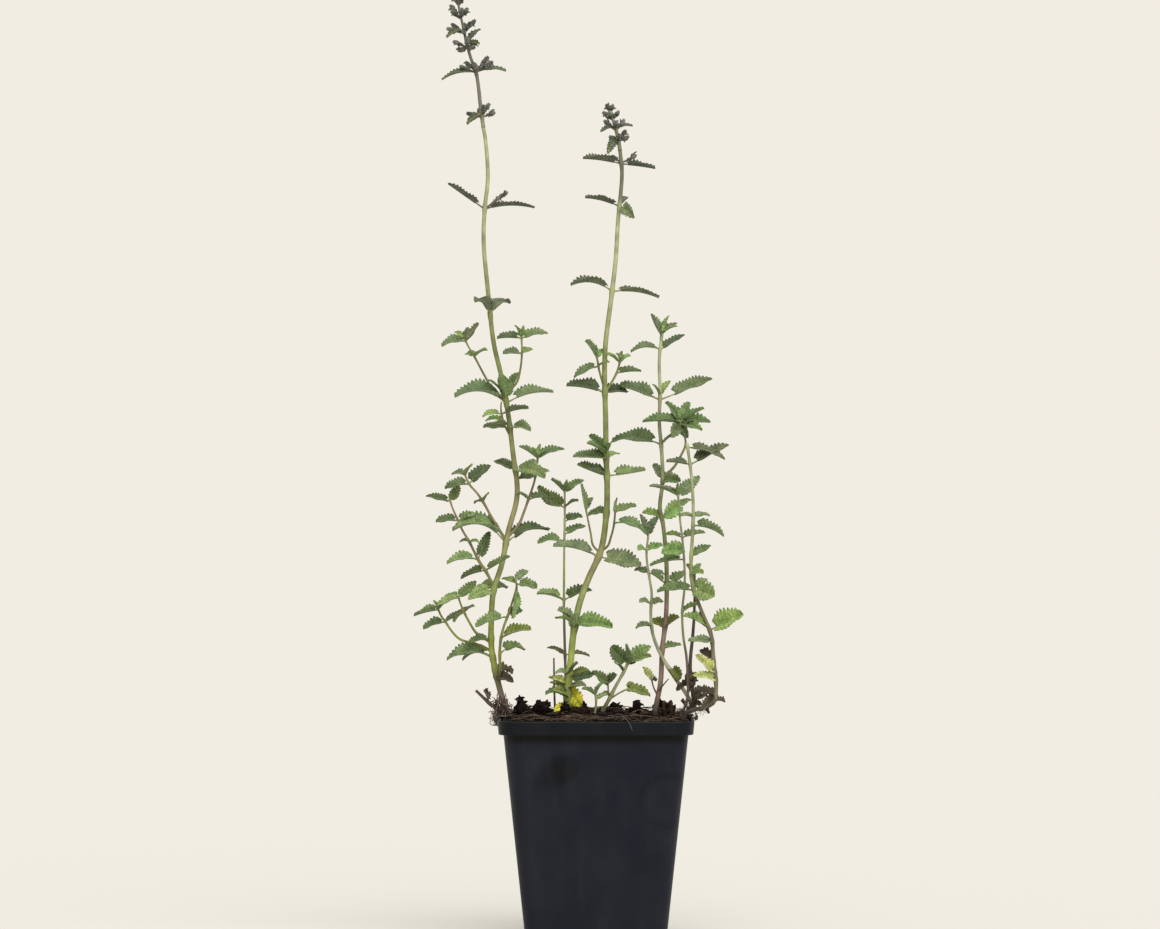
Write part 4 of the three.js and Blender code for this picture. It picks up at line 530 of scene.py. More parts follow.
class Growth:
    """Collects the sheets and tubes of one node, with a colour on every point."""

    def __init__(self, materials):
        self.materials = materials
        self.points, self.tints, self.faces, self.slots = [], [], [], []
        self.count = 0

    def add(self, points, tints, faces, slot):
        self.points.append(points)
        self.tints.append(np.broadcast_to(tints, points.shape))
        self.faces += [tuple(int(i) + self.count for i in face) for face in faces]
        self.slots += [slot] * len(faces)
        self.count += len(points)

    def add_tube(self, line, radii, sides, tint, slot):
        points, faces = tube(line, radii, sides)
        self.add(points, tint, faces, slot)

    def build(self, name):
        mesh = bpy.data.meshes.new(name)
        mesh.from_pydata((np.vstack(self.points) * MM).tolist(), [], self.faces)
        mesh.polygons.foreach_set("material_index", self.slots)
        mesh.polygons.foreach_set("use_smooth", [True] * len(self.faces))
        tint = mesh.color_attributes.new("tint", "FLOAT_COLOR", "POINT")
        colours = np.hstack([np.clip(np.vstack(self.tints), 0, 1), np.ones((self.count, 1))])
        tint.data.foreach_set("color", colours.ravel())
        for material in self.materials:
            mesh.materials.append(material)
        mesh.validate()
        piece = bpy.data.objects.new(name, mesh)
        bpy.context.scene.collection.objects.link(piece)
        return piece


def tube_faces(rings, sides):
    """The faces of a tube made of rings, closed at both ends."""
    faces = []
    for ring in range(rings - 1):
        for k in range(sides):
            a, b = ring * sides + k, ring * sides + (k + 1) % sides
            faces.append((a, b, b + sides, a + sides))
    top = (rings - 1) * sides
    return faces + [tuple(range(sides))[::-1], tuple(range(top, top + sides))]


def tube(line, radii, sides, squareness=0.0, turn=0.0):
    """Points and faces of a tube along a line. Squareness 1 gives flat sides."""
    tangent = unit(np.gradient(line, axis=0))
    depth = perpendicular(np.where(np.abs(tangent @ DEPTH)[:, None] > 0.97, UP, DEPTH), tangent)
    across = np.cross(depth, tangent)
    angle = np.linspace(0, 2 * math.pi, sides, endpoint=False) + turn
    to_corner = np.maximum(np.abs(np.cos(angle)), np.abs(np.sin(angle)))
    shape = (1 - squareness) + squareness / to_corner
    sideways, back = (radii[:, None] * (turned * shape) for turned in (np.cos(angle), np.sin(angle)))
    points = (
        line[:, None, :]
        + across[:, None, :] * sideways[:, :, None] + depth[:, None, :] * back[:, :, None]
    )
    return points.reshape(-1, 3), tube_faces(len(line), sides)


# ---------------------------------------------------------------- stems

STEM_SIDES = 12
STEM_STEP = 1.6
NODE_SWELL = 0.28
NODE_REACH = 1.7
SHOOT_SLIMNESS = 0.84
TOP_SLIMNESS = 0.14
SQUARENESS = 0.75
BARK_EDGE = 2.6  # how softly old wood gives way to green
FRESH_ZONE = {"above": 20, "reach": 16, "share": 0.8}  # the freshest green, above old wood
PALE_SHARE = 0.85
DUSK_SPAN, DUSK_SHADE = 3, 0.8
FLUSH_SHARE = 0.6
SPIKE_FOOT = {"height": 390, "span": 16, "share": 0.5}  # below this height a spike is paler
FOOT = {"height": 101, "span": 9}  # wood is darker down here
SHOOT_SHADE = (0.92, 0.82, 0.9)


def stem_tint(z, name, corner, random, main):
    """Old wood at the foot, fresh green above it, then duller, and pale near the top."""
    bark, greenness, paling, span, wood = BARK[name]
    bark = real_height(bark)
    freshest = bell((z - bark - FRESH_ZONE["above"]) / FRESH_ZONE["reach"])[:, None]
    colour = blend(STEM_GREY, STEM_GREEN, greenness)
    colour = blend(colour, STEM_FRESH, FRESH_ZONE["share"] * greenness * freshest)
    colour = blend(colour, STEM_PALE, PALE_SHARE * rise(z, real_height(paling), span))
    if name in DUSK:
        colour = blend(colour, STEM_GREY * DUSK_SHADE, rise(z, real_height(DUSK[name]), DUSK_SPAN))
    if name in FLUSH:
        at, reach = FLUSH[name]
        flush = bell((z - real_height(at)) / reach)[:, None]
        colour = blend(colour, FLUSH_COLOUR, FLUSH_SHARE * flush)
    if name in SPIKES:
        low = rise(z, SPIKE_FOOT["height"], -SPIKE_FOOT["span"])
        colour = blend(SPIKE_STEM, STEM_PALE, SPIKE_FOOT["share"] * low)
    old = blend(STEM_DARK, WOOD[wood], rise(z, FOOT["height"], FOOT["span"]))
    colour = blend(colour, old, 1 / (1 + np.exp((z - bark) / BARK_EDGE))[:, None])
    if not main:
        colour = colour * SHOOT_SHADE * random.uniform(0.75, 1.0)
    patch = 1 + 0.12 * np.sin(z * 0.37 + random.uniform(0, 6)) + 0.08 * np.sin(z * 0.93)
    # The corner ridges are painted a fifth darker, as shade along the stem's edges.
    return colour * patch[:, None] * (1 - 0.2 * corner[:, None])


def grow_stem(growth, line, widths, nodes, name, random, main):
    share = np.linspace(0, 1, len(line))
    radii = np.interp(share, [0, 1], widths) / 2 * (1 - TOP_SLIMNESS * share ** 2)
    if not main:
        radii = radii * SHOOT_SLIMNESS
    swell = [bell((line[:, 2] - at) / NODE_REACH) for at in nodes] or [radii * 0]
    radii = radii * (1 + NODE_SWELL * np.max(swell, axis=0))
    points, faces = tube(line, radii, STEM_SIDES, squareness=SQUARENESS, turn=math.pi / 4)
    # Marks the four corner ridges, which stem_tint paints darker as shade.
    corner = np.tile((np.arange(STEM_SIDES) % 3 == 0).astype(float), len(line))
    growth.add(points, stem_tint(points[:, 2], name, corner, random, main), faces, STEM_SLOT)


# ---------------------------------------------------------------- leaves

# Half width of the blade along its length, as shares.
OUTLINE = np.array([
    (0, 0.46), (0.03, 0.68), (0.08, 0.86), (0.15, 0.97), (0.24, 1.0), (0.36, 0.97), (0.5, 0.89),
    (0.64, 0.77), (0.77, 0.62), (0.88, 0.44), (0.95, 0.28), (0.985, 0.14), (1, 0),
])
BLADE_HALF_THICKNESS = 0.13
TOOTH_PITCH = 1.95
TOOTH_DEPTH = 0.4
CRISP = 0.06
VEIN_SWEEP = 0.26
TEETH = (4, 10)  # at least and at most, on each side
ROWS_A_TOOTH = 5
LONG_BLADE, COLUMNS, SHORT_COLUMNS = 9, 12, 8
SET_FOLDS = {"yellow": -0.06, "dead": 0.8}
DEAD_CRUMPLE = 2.6
FURROW_WIDTH, MIDRIB_WIDTH = 0.42, 0.42
BROAD = {"from": 0.55, "growth": 0.3}  # as broad as this for their length, leaves are rounder


def leaf_axes(root, tip, roll):
    reach = tip - root
    along = unit(reach)
    upright = perpendicular(FRONT if abs(along[2]) > 0.97 else UP, along)
    facing = np.cross(along, upright)
    if facing @ FRONT < 0:
        facing = -facing
    turn = math.radians(roll)
    face = upright * math.cos(turn) + facing * math.sin(turn)
    return reach, along, upright, face


def blade_form(b, edge, tooth, width, blade, crisping):
    """Half widths of the blade, and how far each point is moved along it."""
    depth = TOOTH_DEPTH * (0.7 + 0.3 * crisping)
    margin = 1 + depth * (tooth - 0.6) * edge ** 5 * np.clip(6 * b, 0, 1)
    broad = np.clip((width / blade - BROAD["from"]) / BROAD["growth"], 0, 1)
    round_form = np.sqrt(np.clip(1 - ((b - 0.42) / 0.6) ** 2, 0, 1) * np.clip((1 - b) * 9, 0, 1))
    form = np.interp(b, OUTLINE[:, 0], OUTLINE[:, 1]) * (1 - broad) + round_form * broad
    half = form * width / 2 * margin
    shift = -0.075 * edge ** 1.6 * np.exp(-8 * b) + 0.02 * (tooth - 0.5) * edge ** 4
    return half, shift


def blade_tints(kind, height, b, v, tooth, midrib, furrow, random):
    """Colours of the upper face and of the underside."""
    edge = np.abs(v)
    upper, lower = (np.array(c) for c in LEAF_COLOURS[kind])
    shade = random.uniform(0.6, 1.55) if kind in ("green", "dead") else random.uniform(0.82, 1.2)
    warm = 1 + random.uniform(-0.06, 0.14) * np.array((1.0, 0.2, -0.5))
    vein = (0.7 * midrib)[..., None]
    vein_tint = upper * 0.45 + (VEIN_COLOUR if kind != "dead" else upper) * 0.75
    top = blend(upper, vein_tint, vein) * shade * warm
    # Painted shade in the sunken vein furrows and a painted highlight on the puckered cells between them.
    cells = (1 - furrow)[..., None]
    mottle = 1 + 0.16 * np.sin(b * 23 + 5 * v + random.uniform(0, 6)) * np.sin(7 * v + 9 * b)
    top = top * (1 - 0.3 * edge ** 8 * tooth)[..., None] * (0.84 + 0.26 * cells)
    top = top * mottle[..., None]
    if kind in ("green", "bright"):
        dull = DULL["share"] * np.clip((height - DULL["from"]) / DULL["growth"], 0, 1)
        top = blend(top, DULL_COLOUR * shade, dull)
    return top, blend(lower, lower * 1.35, 0.3 * vein) * shade


def sheet_faces(rows, columns):
    """Faces of a thin sheet: its upper side, its underside and the rim between them."""
    across = columns + 1
    under = (rows + 1) * across
    grid = [
        (i * across + j, i * across + j + 1, (i + 1) * across + j + 1, (i + 1) * across + j)
        for i in range(rows) for j in range(columns)
    ]
    faces = [cell[::-1] for cell in grid] + [tuple(k + under for k in cell) for cell in grid]
    rim = (
        list(range(across))
        + [i * across + columns for i in range(1, rows + 1)]
        + [rows * across + j for j in range(columns - 1, -1, -1)]
        + [i * across for i in range(rows - 1, 0, -1)]
    )
    return faces + [(a, c, c + under, a + under) for a, c in zip(rim, rim[1:] + rim[:1])]


def grow_leaf(
    growth, root, tip, width, kind, random, roll=ROLL, arch=ARCH, stalk=STALK, crisping=1.0
):
    reach, along, upright, face = leaf_axes(root, tip, roll)
    length = np.linalg.norm(reach)
    blade = length * (1 - stalk)
    teeth = int(np.clip(round(blade / TOOTH_PITCH), *TEETH))
    rows = teeth * ROWS_A_TOOTH
    columns = COLUMNS if blade > LONG_BLADE else SHORT_COLUMNS
    fold = YOUNG_FOLD
    if width > MATURE_WIDTH:
        fold = MATURE_FOLD
        arch = arch - SAG * math.cos(math.radians(roll)) * width / length
    fold += random.uniform(-0.12, 0.22)
    fold = SET_FOLDS.get(kind, fold)
    crumple = DEAD_CRUMPLE if kind == "dead" else 1.0

    # b runs along the blade from 0 to 1, and v across it from -1 to 1.
    b, v = np.meshgrid(np.linspace(0, 1, rows + 1), np.linspace(-1, 1, columns + 1), indexing="ij")
    edge = np.abs(v)
    phase = teeth * (b - VEIN_SWEEP * edge * (1 - b) * 0.8) + 0.35
    tooth = np.abs(np.cos(math.pi * phase)) ** 0.7
    half, shift = blade_form(b, edge, tooth, width, blade, crisping)
    t = stalk + (b + shift) * (1 - stalk)

    # Veins lie in furrows, and the blade puckers up between them.
    size = min(1.0, width / 7)
    furrow = bell(np.sin(math.pi * phase) / FURROW_WIDTH) * (1 - 0.5 * edge)
    midrib = bell(v * half / MIDRIB_WIDTH)
    pucker = 0.5 * size * (1 - furrow) * np.clip(edge * 3, 0, 1) * (1 - edge ** 6)
    crisp = CRISP * crisping * width * (tooth - 0.4) * edge ** 3 * np.clip(5 * b, 0, 1)
    wave = 0.06 * width * np.sin(2 * math.pi * (1.6 * b) + random.uniform(0, 6)) * edge ** 2
    relief = pucker - 0.22 * midrib + (wave * v + crisp) * crumple

    side = np.cross(face, along)
    twist = random.uniform(-0.3, 0.3) * b * crumple
    spine = root + reach * t[..., None] + upright * (arch * length * 4 * t * (1 - t))[..., None]
    normal = unit(face - along * (arch * 4 * (1 - 2 * t))[..., None])
    lateral = v * half
    lift = fold * np.abs(lateral) + relief + twist * lateral
    middle = spine + side * lateral[..., None] + normal * lift[..., None]
    thin = BLADE_HALF_THICKNESS * (1 - 0.6 * edge ** 8)
    rib_below = 0.22 * midrib * (1 - b)
    top = middle + normal * thin[..., None]
    under = middle - normal * (thin + rib_below)[..., None]
    tints = blade_tints(kind, root[2], b, v, tooth, midrib, furrow, random)
    growth.add(
        np.vstack([side_points.reshape(-1, 3) for side_points in (top, under)]),
        np.vstack([tint.reshape(-1, 3) for tint in tints]), sheet_faces(rows, columns), LEAF_SLOT,
    )

    # The stalk runs from inside the stem to the midrib.
    share = np.linspace(0, stalk + 0.10 * (1 - stalk), 8)
    rise = (arch * length * 4 * share * (1 - share))[:, None]
    line = root + reach * share[:, None] + upright * rise - face * 0.1
    radii = np.interp(share, [0, share[-1]], [STALK_RADIUS * 1.2, STALK_RADIUS * 0.5])
    tint = {"dead": WOOD["dark"], "dusky": STEM_GREY * 0.7}.get(kind, STEM_GREEN * 1.1)
    growth.add_tube(line, radii * min(1, 0.5 + width / 10), 7, tint, STEM_SLOT)


# ---------------------------------------------------------------- calyces and buds

CALYX_SHAPE = [  # share of the length, half width as a share of the width
    (0, 0.14), (0.06, 0.32), (0.18, 0.48), (0.36, 0.58), (0.56, 0.58), (0.74, 0.5), (0.88, 0.4),
]
CALYX_SIDES = 15
CALYX_STALK = 0.24


def grow_calyx(growth, root, mouth, width, random):
    """A plump ribbed bud, closed by five pointed teeth."""
    axis = mouth - root
    along = unit(axis)
    side, other = across_axes(along)
    angle = np.linspace(0, 2 * math.pi, CALYX_SIDES, endpoint=False)
    tooth = np.clip(np.cos(5 * angle), 0, 1)
    ribs = 1 + 0.09 * np.cos(5 * angle)

    def ring(share, radius):
        out = side * (np.cos(angle) * radius)[:, None] + other * (np.sin(angle) * radius)[:, None]
        return root + axis * share[:, None] + out

    level = np.zeros(CALYX_SIDES)
    rings = [ring(level + share, radius * width * ribs) for share, radius in CALYX_SHAPE]
    rings.append(ring(0.95 + 0.13 * tooth, (0.27 + 0.05 * tooth) * width))
    rings.append(ring(level + 0.8, level + 0.14 * width))
    heights = np.repeat([share for share, _ in CALYX_SHAPE] + [1.0, 0.5], CALYX_SIDES)[:, None]
    foot, crown = CALYX_TINTS[random.integers(3)], CALYX_TINTS[random.integers(3)]
    tint = blend(foot, crown, heights) * random.uniform(0.7, 1.3)
    # Painted shade in the grooves between the ribs, a little lighter on the ribs.
    shade = np.tile(0.85 + 0.2 * np.cos(5 * angle), len(rings))[:, None]
    growth.add(np.vstack(rings), tint * shade, tube_faces(len(rings), CALYX_SIDES), CALYX_SLOT)


# Each flowering branch bears some buds, with a narrow leaflet under each: the place of each bud
# along the branch, its size and its lean.
BRANCH_BUDS = ((1.0, 1.0, 0.15), (0.82, 0.85, 0.8), (0.62, 0.7, 1.0))
BUD_LENGTH = 1.45
BUD_WIDTH = 0.84
LEAFLET = {"length": 3.4, "width": 1.5, "lean": 0.7}


def grow_branch(growth, root, mouth, width, random):
    """A short branch of a whorl, with a bud at its end and smaller ones beside it."""
    reach = mouth - root
    along = unit(reach)
    side, other = across_axes(along)
    for at, size, lean in BRANCH_BUDS:
        turn = random.uniform(0, 2 * math.pi)
        out = side * math.cos(turn) + other * math.sin(turn)
        aim = unit(along + out * lean)
        tip = root + reach * at + out * lean
        foot = tip - aim * width * BUD_LENGTH * size
        splay = unit(aim + out * LEAFLET["lean"] - UP * 0.3)
        leaflet = foot + splay * LEAFLET["length"] * size * random.uniform(0.8, 1.2)
        roll = random.uniform(10, 80)
        grow_leaf(growth, foot, leaflet, LEAFLET["width"], "dusky", random, roll, 0.1, 0.0, 1.6)
        grow_calyx(growth, foot, tip, width * BUD_WIDTH * size, random)
        line = smooth_line([root, (root + foot) / 2 - UP * 0.25, foot + aim * 0.3], 0.8)
        growth.add_tube(line, np.full(len(line), CALYX_STALK), 6, SPIKE_STEM * 0.8, STEM_SLOT)


def grow_tip_leaves(growth, root, mouth, width, random):
    """Two pairs of young leaves that are still closing over a shoot's end."""
    axis = mouth - root
    length = np.linalg.norm(axis)
    along = axis / length
    side, other = across_axes(along)
    for spread, reach, across in ((0.75, 0.8, other), (0.3, 0.95, side)):
        for sign in (-1, 1):
            lean = along * math.cos(spread) + across * (sign * math.sin(spread))
            start = root + axis * 0.08
            tip = start + lean * length * reach
            grow_leaf(growth, start, tip, max(width, 1.8), "fresh", random, 20, 0.1, 0.12)


# ---------------------------------------------------------------- one leafy stem

SPIKE_HEIGHT, DUSKY_HEIGHT = 330, 325
CRISP_HEIGHT = 280  # above it, the blades are held level, narrow and strongly toothed
UPPER_ROLL, UPPER_WIDTH = 0.3, 0.8
BRACT_WIDTH = 1.2
FRESH_SHARE = 0.55  # of the young leaves; the others are grey
CRISPING = 2.2  # of the high leaves, next to 1 of the others


def grow(growth, line, stem, name, random, main):
    kinds = LEAF_KINDS.get(name, {})
    nodes = sorted({real_height(row[0]) for row in stem["leaves"]})
    grow_stem(growth, line, stem["widths"], nodes, name, random, main)
    for at, x, depth, z, width, *form in stem["leaves"]:
        root = point_at_height(line, real_height(at))
        tip = place((x, 0, z))
        tip[1] = root[1] + depth * SPREAD["open" if x < SPREAD["crowded_from"] else "crowded"]
        young = "fresh" if random.random() < FRESH_SHARE else "grey"
        kind = kinds.get(at, "green" if width > MATURE_WIDTH else young)
        if z > DUSKY_HEIGHT:
            kind = "dusky"
        roll, arch, stalk = form + [ROLL, ARCH, STALK][len(form):]
        crisping = CRISPING if z > CRISP_HEIGHT else 1.0
        if name in SPIKES:
            width = width * BRACT_WIDTH
        elif z > CRISP_HEIGHT and roll > 45:
            kind = "grey"
        elif z > CRISP_HEIGHT:
            kind = kind if kind == "dusky" else "shady"
            roll, width = roll * UPPER_ROLL, width * UPPER_WIDTH
        grow_leaf(growth, root, tip, width, kind, random, roll, arch, stalk, crisping)
    for at, x, depth, z, width in stem["buds"]:
        root = point_at_height(line, real_height(at))
        mouth = place((x, 0, z))
        mouth[1] = root[1] + depth
        grow_bud = grow_branch if name in SPIKES or z > SPIKE_HEIGHT else grow_tip_leaves
        grow_bud(growth, root, mouth, width, random)
    for shoot in stem["shoots"]:
        shoot_line = smooth_line([place(p) for p in shoot["path"]], STEM_STEP)
        grow(growth, shoot_line, shoot, name, random, False)


# Withered leaves round the feet at the right: root, tip and width.
WITHERED = table("""
    42.6 1 122 40.6 -1 118.2 3.2, 42.6 1 119.5 44.6 -2 116.4 3.2, 43.5 2 117 41.6 -2 113.6 3.2,
    45 2 109.5 48.6 -1 114.4 3.2, 45 2 107.6 48.2 -3 108 3, 51.5 -8 108.4 55.8 -8.4 110.4 2,
    50 -8 107.4 51.2 -10.5 104.4 2, 41 7 106 38.6 5 109.5 3""")
# Loose fibres: middle, spread, number, length and radius. Crumbs: middle, spread and number.
FIBRES = {
    "stem_bare_right": table("45 1 106 3.4 5 3.2 26 7 .2, 40 2 103 4 7 1.8 22 7 .18"),
    "stem_left": table("""
        -43.2 1 106 2.6 2.6 3.8 110 9 .24, -44.6 -2 101.8 2.2 6 2.4 46 7 .2,
        -38 0 102.4 4 6 1.6 30 7 .18"""),
}
CRUMBS = {
    "stem_left": table("-42.2 1 103 3.4 4.5 3.4 70"), "stem_bare_right": table("42 3 103 4 5 2.6 34"),
}
LOWEST_OVER_POT, LOWEST_BESIDE_POT = 100.6, 96  # loose fibres lie no lower


def scattered(litter):
    """The middle, the spread and the sizes in each row, as often as its number says."""
    for row in litter:
        for _ in range(int(row[6])):
            yield place(row[:3]), row[3:6], row[7:]


def grow_litter(growth, name, random):
    for middle, spread, _ in scattered(CRUMBS.get(name, [])):
        centre = middle + random.uniform(-1, 1, 3) * spread
        size = random.uniform(0.35, 1.0) * np.array((random.uniform(1, 2), 0.9, 0.6))
        tint = WOOD["dark"] * random.uniform(0.12, 0.6)
        chip(growth, centre, size, None, tint, random, 1)
    for middle, spread, (length, radius) in scattered(FIBRES.get(name, [])):
        centre = middle + random.uniform(-1, 1, 3) * spread
        heading = unit(random.normal(0, 1, 3) * (0.5, 0.6, 1.3))
        bend = random.normal(0, 1.2, 3)
        reach = heading * length * random.uniform(0.3, 0.6)
        line = smooth_line([centre - reach, centre + bend, centre + reach], 1.1)
        inside = np.abs(line[:, 0]) < POT["rim_half"] + radius
        line[:, 2] = np.maximum(line[:, 2], np.where(inside, LOWEST_OVER_POT, LOWEST_BESIDE_POT))
        thickness = np.linspace(1, 0.45, len(line)) * radius * random.uniform(0.5, 1.1)
        tint = WOOD["brown"] * random.uniform(0.3, 1.3) ** 2
        growth.add_tube(line, thickness, 5, tint, STEM_SLOT)
    if name == "stem_bare_right":
        for row in WITHERED:
            root, tip, roll = place(row[:3]), place(row[3:6]), random.uniform(20, 80)
            grow_leaf(growth, root, tip, row[6], "dead", random, roll)


def stem_line(path):
    foot, *rest = [place(p) for p in path]
    upper = smooth_line(rest, STEM_STEP)
    steps = max(2, int(np.linalg.norm(rest[0] - foot) / STEM_STEP))
    lower = foot + np.linspace(0, 1, steps, endpoint=False)[:, None] * (rest[0] - foot)
    return np.vstack([lower, upper])


def make_plant(materials):
    for seed, (name, stem) in enumerate(STEMS.items()):
        growth = Growth(materials)
        if stem["below"]:
            x, y, z = STEMS[stem["below"]]["path"][-1]
            path = [[x, y, z + SPIKE_GAP]] + stem["path"]
            line = smooth_line([place(p) for p in path], STEM_STEP / 2)
            line[0] = line[0] - UP * SPIKE_GAP * 1.5
        else:
            line = stem_line(stem["path"])
        grow(growth, line, stem, name, np.random.default_rng(SEEDS["growth"] + seed), True)
        grow_litter(growth, name, np.random.default_rng(SEEDS["litter"] + seed))
        piece = growth.build(name + "_grown")
        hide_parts(name)
        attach(piece, "root")


# ---------------------------------------------------------------- materials

class Shader:
    """A material under construction. Values are numbers, colours or other nodes' outputs."""

    def __init__(self, name, **surface):
        self.material = bpy.data.materials.new(name)
        self.material.use_nodes = True
        self.nodes = self.material.node_tree.nodes
        self.position = self.node("TexCoord").outputs["Object"]
        self.surface = surface

    def put(self, socket, value):
        if isinstance(value, bpy.types.NodeSocket):
            self.material.node_tree.links.new(value, socket)
        elif socket.type == "RGBA":
            socket.default_value = (*value, 1)
        else:
            socket.default_value = value

    def node(self, kind, inputs=(), **settings):
        made = self.nodes.new("ShaderNode" + kind)
        for setting, value in settings.items():
            setattr(made, setting, value)
        for key, value in dict(inputs).items():
            self.put(made.inputs[key], value)
        return made

    def noise(self, scale, detail, stretch=None):
        position = self.position
        if stretch:
            mapping = self.node("Mapping", {"Vector": position, "Scale": stretch})
            position = mapping.outputs["Vector"]
        inputs = {"Vector": position, "Scale": scale, "Detail": detail}
        return self.node("TexNoise", inputs).outputs["Fac"]

    def tint(self):
        return self.node("Attribute", attribute_name="tint").outputs["Color"]

    def ramp(self, factor, *stops):
        """Greys or colours along a factor, from stops of (place, value)."""
        made = self.node("ValToRGB", {"Fac": factor})
        elements = made.color_ramp.elements
        while len(elements) < len(stops):
            elements.new(0.5)
        for element, (place_on_ramp, value) in zip(elements, stops):
            element.position = place_on_ramp
            element.color = (*np.full(3, value, float), 1)
        return made.outputs["Color"]

    def mix(self, mode, first, second, amount=1.0):
        inputs = {0: amount, 6: first, 7: second}
        return self.node("Mix", inputs, data_type="RGBA", blend_type=mode).outputs[2]

    def bump(self, height, strength, distance, below=None):
        inputs = {"Height": height, "Strength": strength, "Distance": distance}
        if below is not None:
            inputs["Normal"] = below
        return self.node("Bump", inputs).outputs["Normal"]

    def calculate(self, operation, *values):
        return self.node("Math", dict(enumerate(values)), operation=operation).outputs[0]

    def finish(self):
        for name, value in self.surface.items():
            self.put(self.nodes["Principled BSDF"].inputs[name], value)
        return self.material


LEAF_CELLS = 950.0  # across a metre


def living(name, patches, fine_scale, bump, roughness, sheen, stretch=None):
    """A living surface: its own colour from the points, broken up by patches and fine grain."""
    skin = Shader(name, **{"Specular IOR Level": 0.32, "Sheen Roughness": 0.4, "Sheen Weight": sheen})
    fine = skin.noise(fine_scale, 5.0, stretch)
    broken = skin.ramp(skin.noise(260.0, 3.0), (0.3, patches[0]), (0.7, patches[1]))
    speckle = skin.ramp(fine, (0.3, (0.8, 0.8, 0.78)), (0.7, (1.14, 1.14, 1.1)))
    skin.surface["Base Color"] = skin.mix(
        "MULTIPLY", skin.mix("MULTIPLY", skin.tint(), broken), speckle
    )
    skin.surface["Roughness"] = skin.ramp(fine, (0.25, roughness - 0.1), (0.75, roughness + 0.1))
    skin.surface["Normal"] = skin.bump(fine, bump, 0.0002)
    return skin


def stem_material():
    patches = ((0.9, 0.86, 0.84), (1.08, 1.1, 1.04))
    return living("stem_skin", patches, 1600.0, 0.35, 0.55, 0.12, (1.0, 1.0, 0.12)).finish()


def leaf_material():
    """The blade is quilted: small cells that stand up between a net of sunken veins, with painted shade along
    the net and a painted highlight on the cells.
    """
    skin = living("leaf_skin", ((0.66, 0.74, 0.62), (1.2, 1.16, 1.05)), 2300.0, 0.4, 0.66, 0.16)
    inputs = {"Vector": skin.position, "Scale": LEAF_CELLS}
    net = skin.node("TexVoronoi", inputs, feature="DISTANCE_TO_EDGE").outputs["Distance"]
    # Painted shade along the sunken vein net, painted highlight in the raised cells.
    darker = skin.ramp(net, (0.0, (0.56, 0.62, 0.52)), (0.22, (1.1, 1.1, 1.06)))
    skin.surface["Base Color"] = skin.mix("MULTIPLY", skin.surface["Base Color"], darker)
    skin.surface["Normal"] = skin.bump(net, 0.7, 0.0005, skin.surface["Normal"])
    skin.surface["Sheen Tint"] = (0.8, 0.95, 0.75)
    return skin.finish()


def calyx_material():
    patches = ((0.72, 0.7, 0.76), (1.3, 1.3, 1.28))
    return living("calyx_skin", patches, 3000.0, 0.8, 0.8, 0.35).finish()


# Finger marks on the front face: the middle in metres, and the shade by the distance from it,
# where 1 is MARK_REACH. Their edges waver by half of MARK_WAVER each way.
MARK_REACH, MARK_WAVER = 0.03, 0.14
MARKS = [
    ((-0.0145, -0.041, 0.0785), (0.0, 0.4), (0.18, 0.42), (0.27, 1), (1.0, 1)),
    ((-0.0205, -0.0405, 0.0755), (0.0, 0.55), (0.16, 0.6), (0.3, 1), (1.0, 1)),
    ((-0.0285, -0.040, 0.0715), (0.0, 0.7), (0.16, 1), (1.0, 1)),
    ((0.0325, -0.040, 0.0635), (0.3, 1), (0.4, 0.6), (0.5, 1), (1.0, 1)),
]
# Shades by the height as a share of the pot's: a little darker towards the bottom, a painted shadow in the
# angle under the rim, and a darker rim.
RIM_TONE_AND_PAINTED_SHADOW = [
    (0.0, 0.92), (0.4, 1.0), (0.89, 1.05), (0.915, 0.12), (0.93, 0.05), (0.937, 0.5), (1.0, 0.5),
]


def soft_mark(plastic, middle, stops):
    """A round patch with an uneven edge."""
    inputs = {0: plastic.position, 1: middle}
    distance = plastic.node("VectorMath", inputs, operation="DISTANCE").outputs["Value"]
    share = plastic.calculate("DIVIDE", distance, MARK_REACH)
    uneven = plastic.calculate("MULTIPLY_ADD", plastic.noise(110.0, 3.0), MARK_WAVER, share)
    return plastic.ramp(plastic.calculate("SUBTRACT", uneven, MARK_WAVER / 2), *stops)


def pot_material():
    """Dark slate plastic with a fine moulded grain, faint smudges and dust."""
    plastic = Shader("pot_plastic", **{"Specular IOR Level": 0.15})
    smudge = plastic.noise(45.0, 4.0)
    streak = plastic.noise(120.0, 5.0, (1.0, 1.0, 0.25))
    base = plastic.ramp(smudge, (0.3, (0.0036, 0.0056, 0.0112)), (0.72, (0.0082, 0.0102, 0.0164)))
    # By the height: a painted shadow under the rim, and a darker rim.
    height = plastic.node("SeparateXYZ", {0: plastic.position}).outputs["Z"]
    share = plastic.calculate("MULTIPLY", height, 1 / (POT["height"] * MM))
    base = plastic.mix("MULTIPLY", base, plastic.ramp(share, *RIM_TONE_AND_PAINTED_SHADOW))
    for middle, *stops in MARKS:
        base = plastic.mix("MULTIPLY", base, soft_mark(plastic, middle, stops))
    dust = plastic.ramp(streak, (0.52, 0.0), (0.85, 0.10))
    plastic.surface["Base Color"] = plastic.mix("MIX", base, (0.06, 0.058, 0.052), dust)
    plastic.surface["Roughness"] = plastic.ramp(smudge, (0.3, 0.38), (0.7, 0.52))
    plastic.surface["Normal"] = plastic.bump(plastic.noise(4200.0, 2.0), 0.25, 0.0001)
    return plastic.finish()


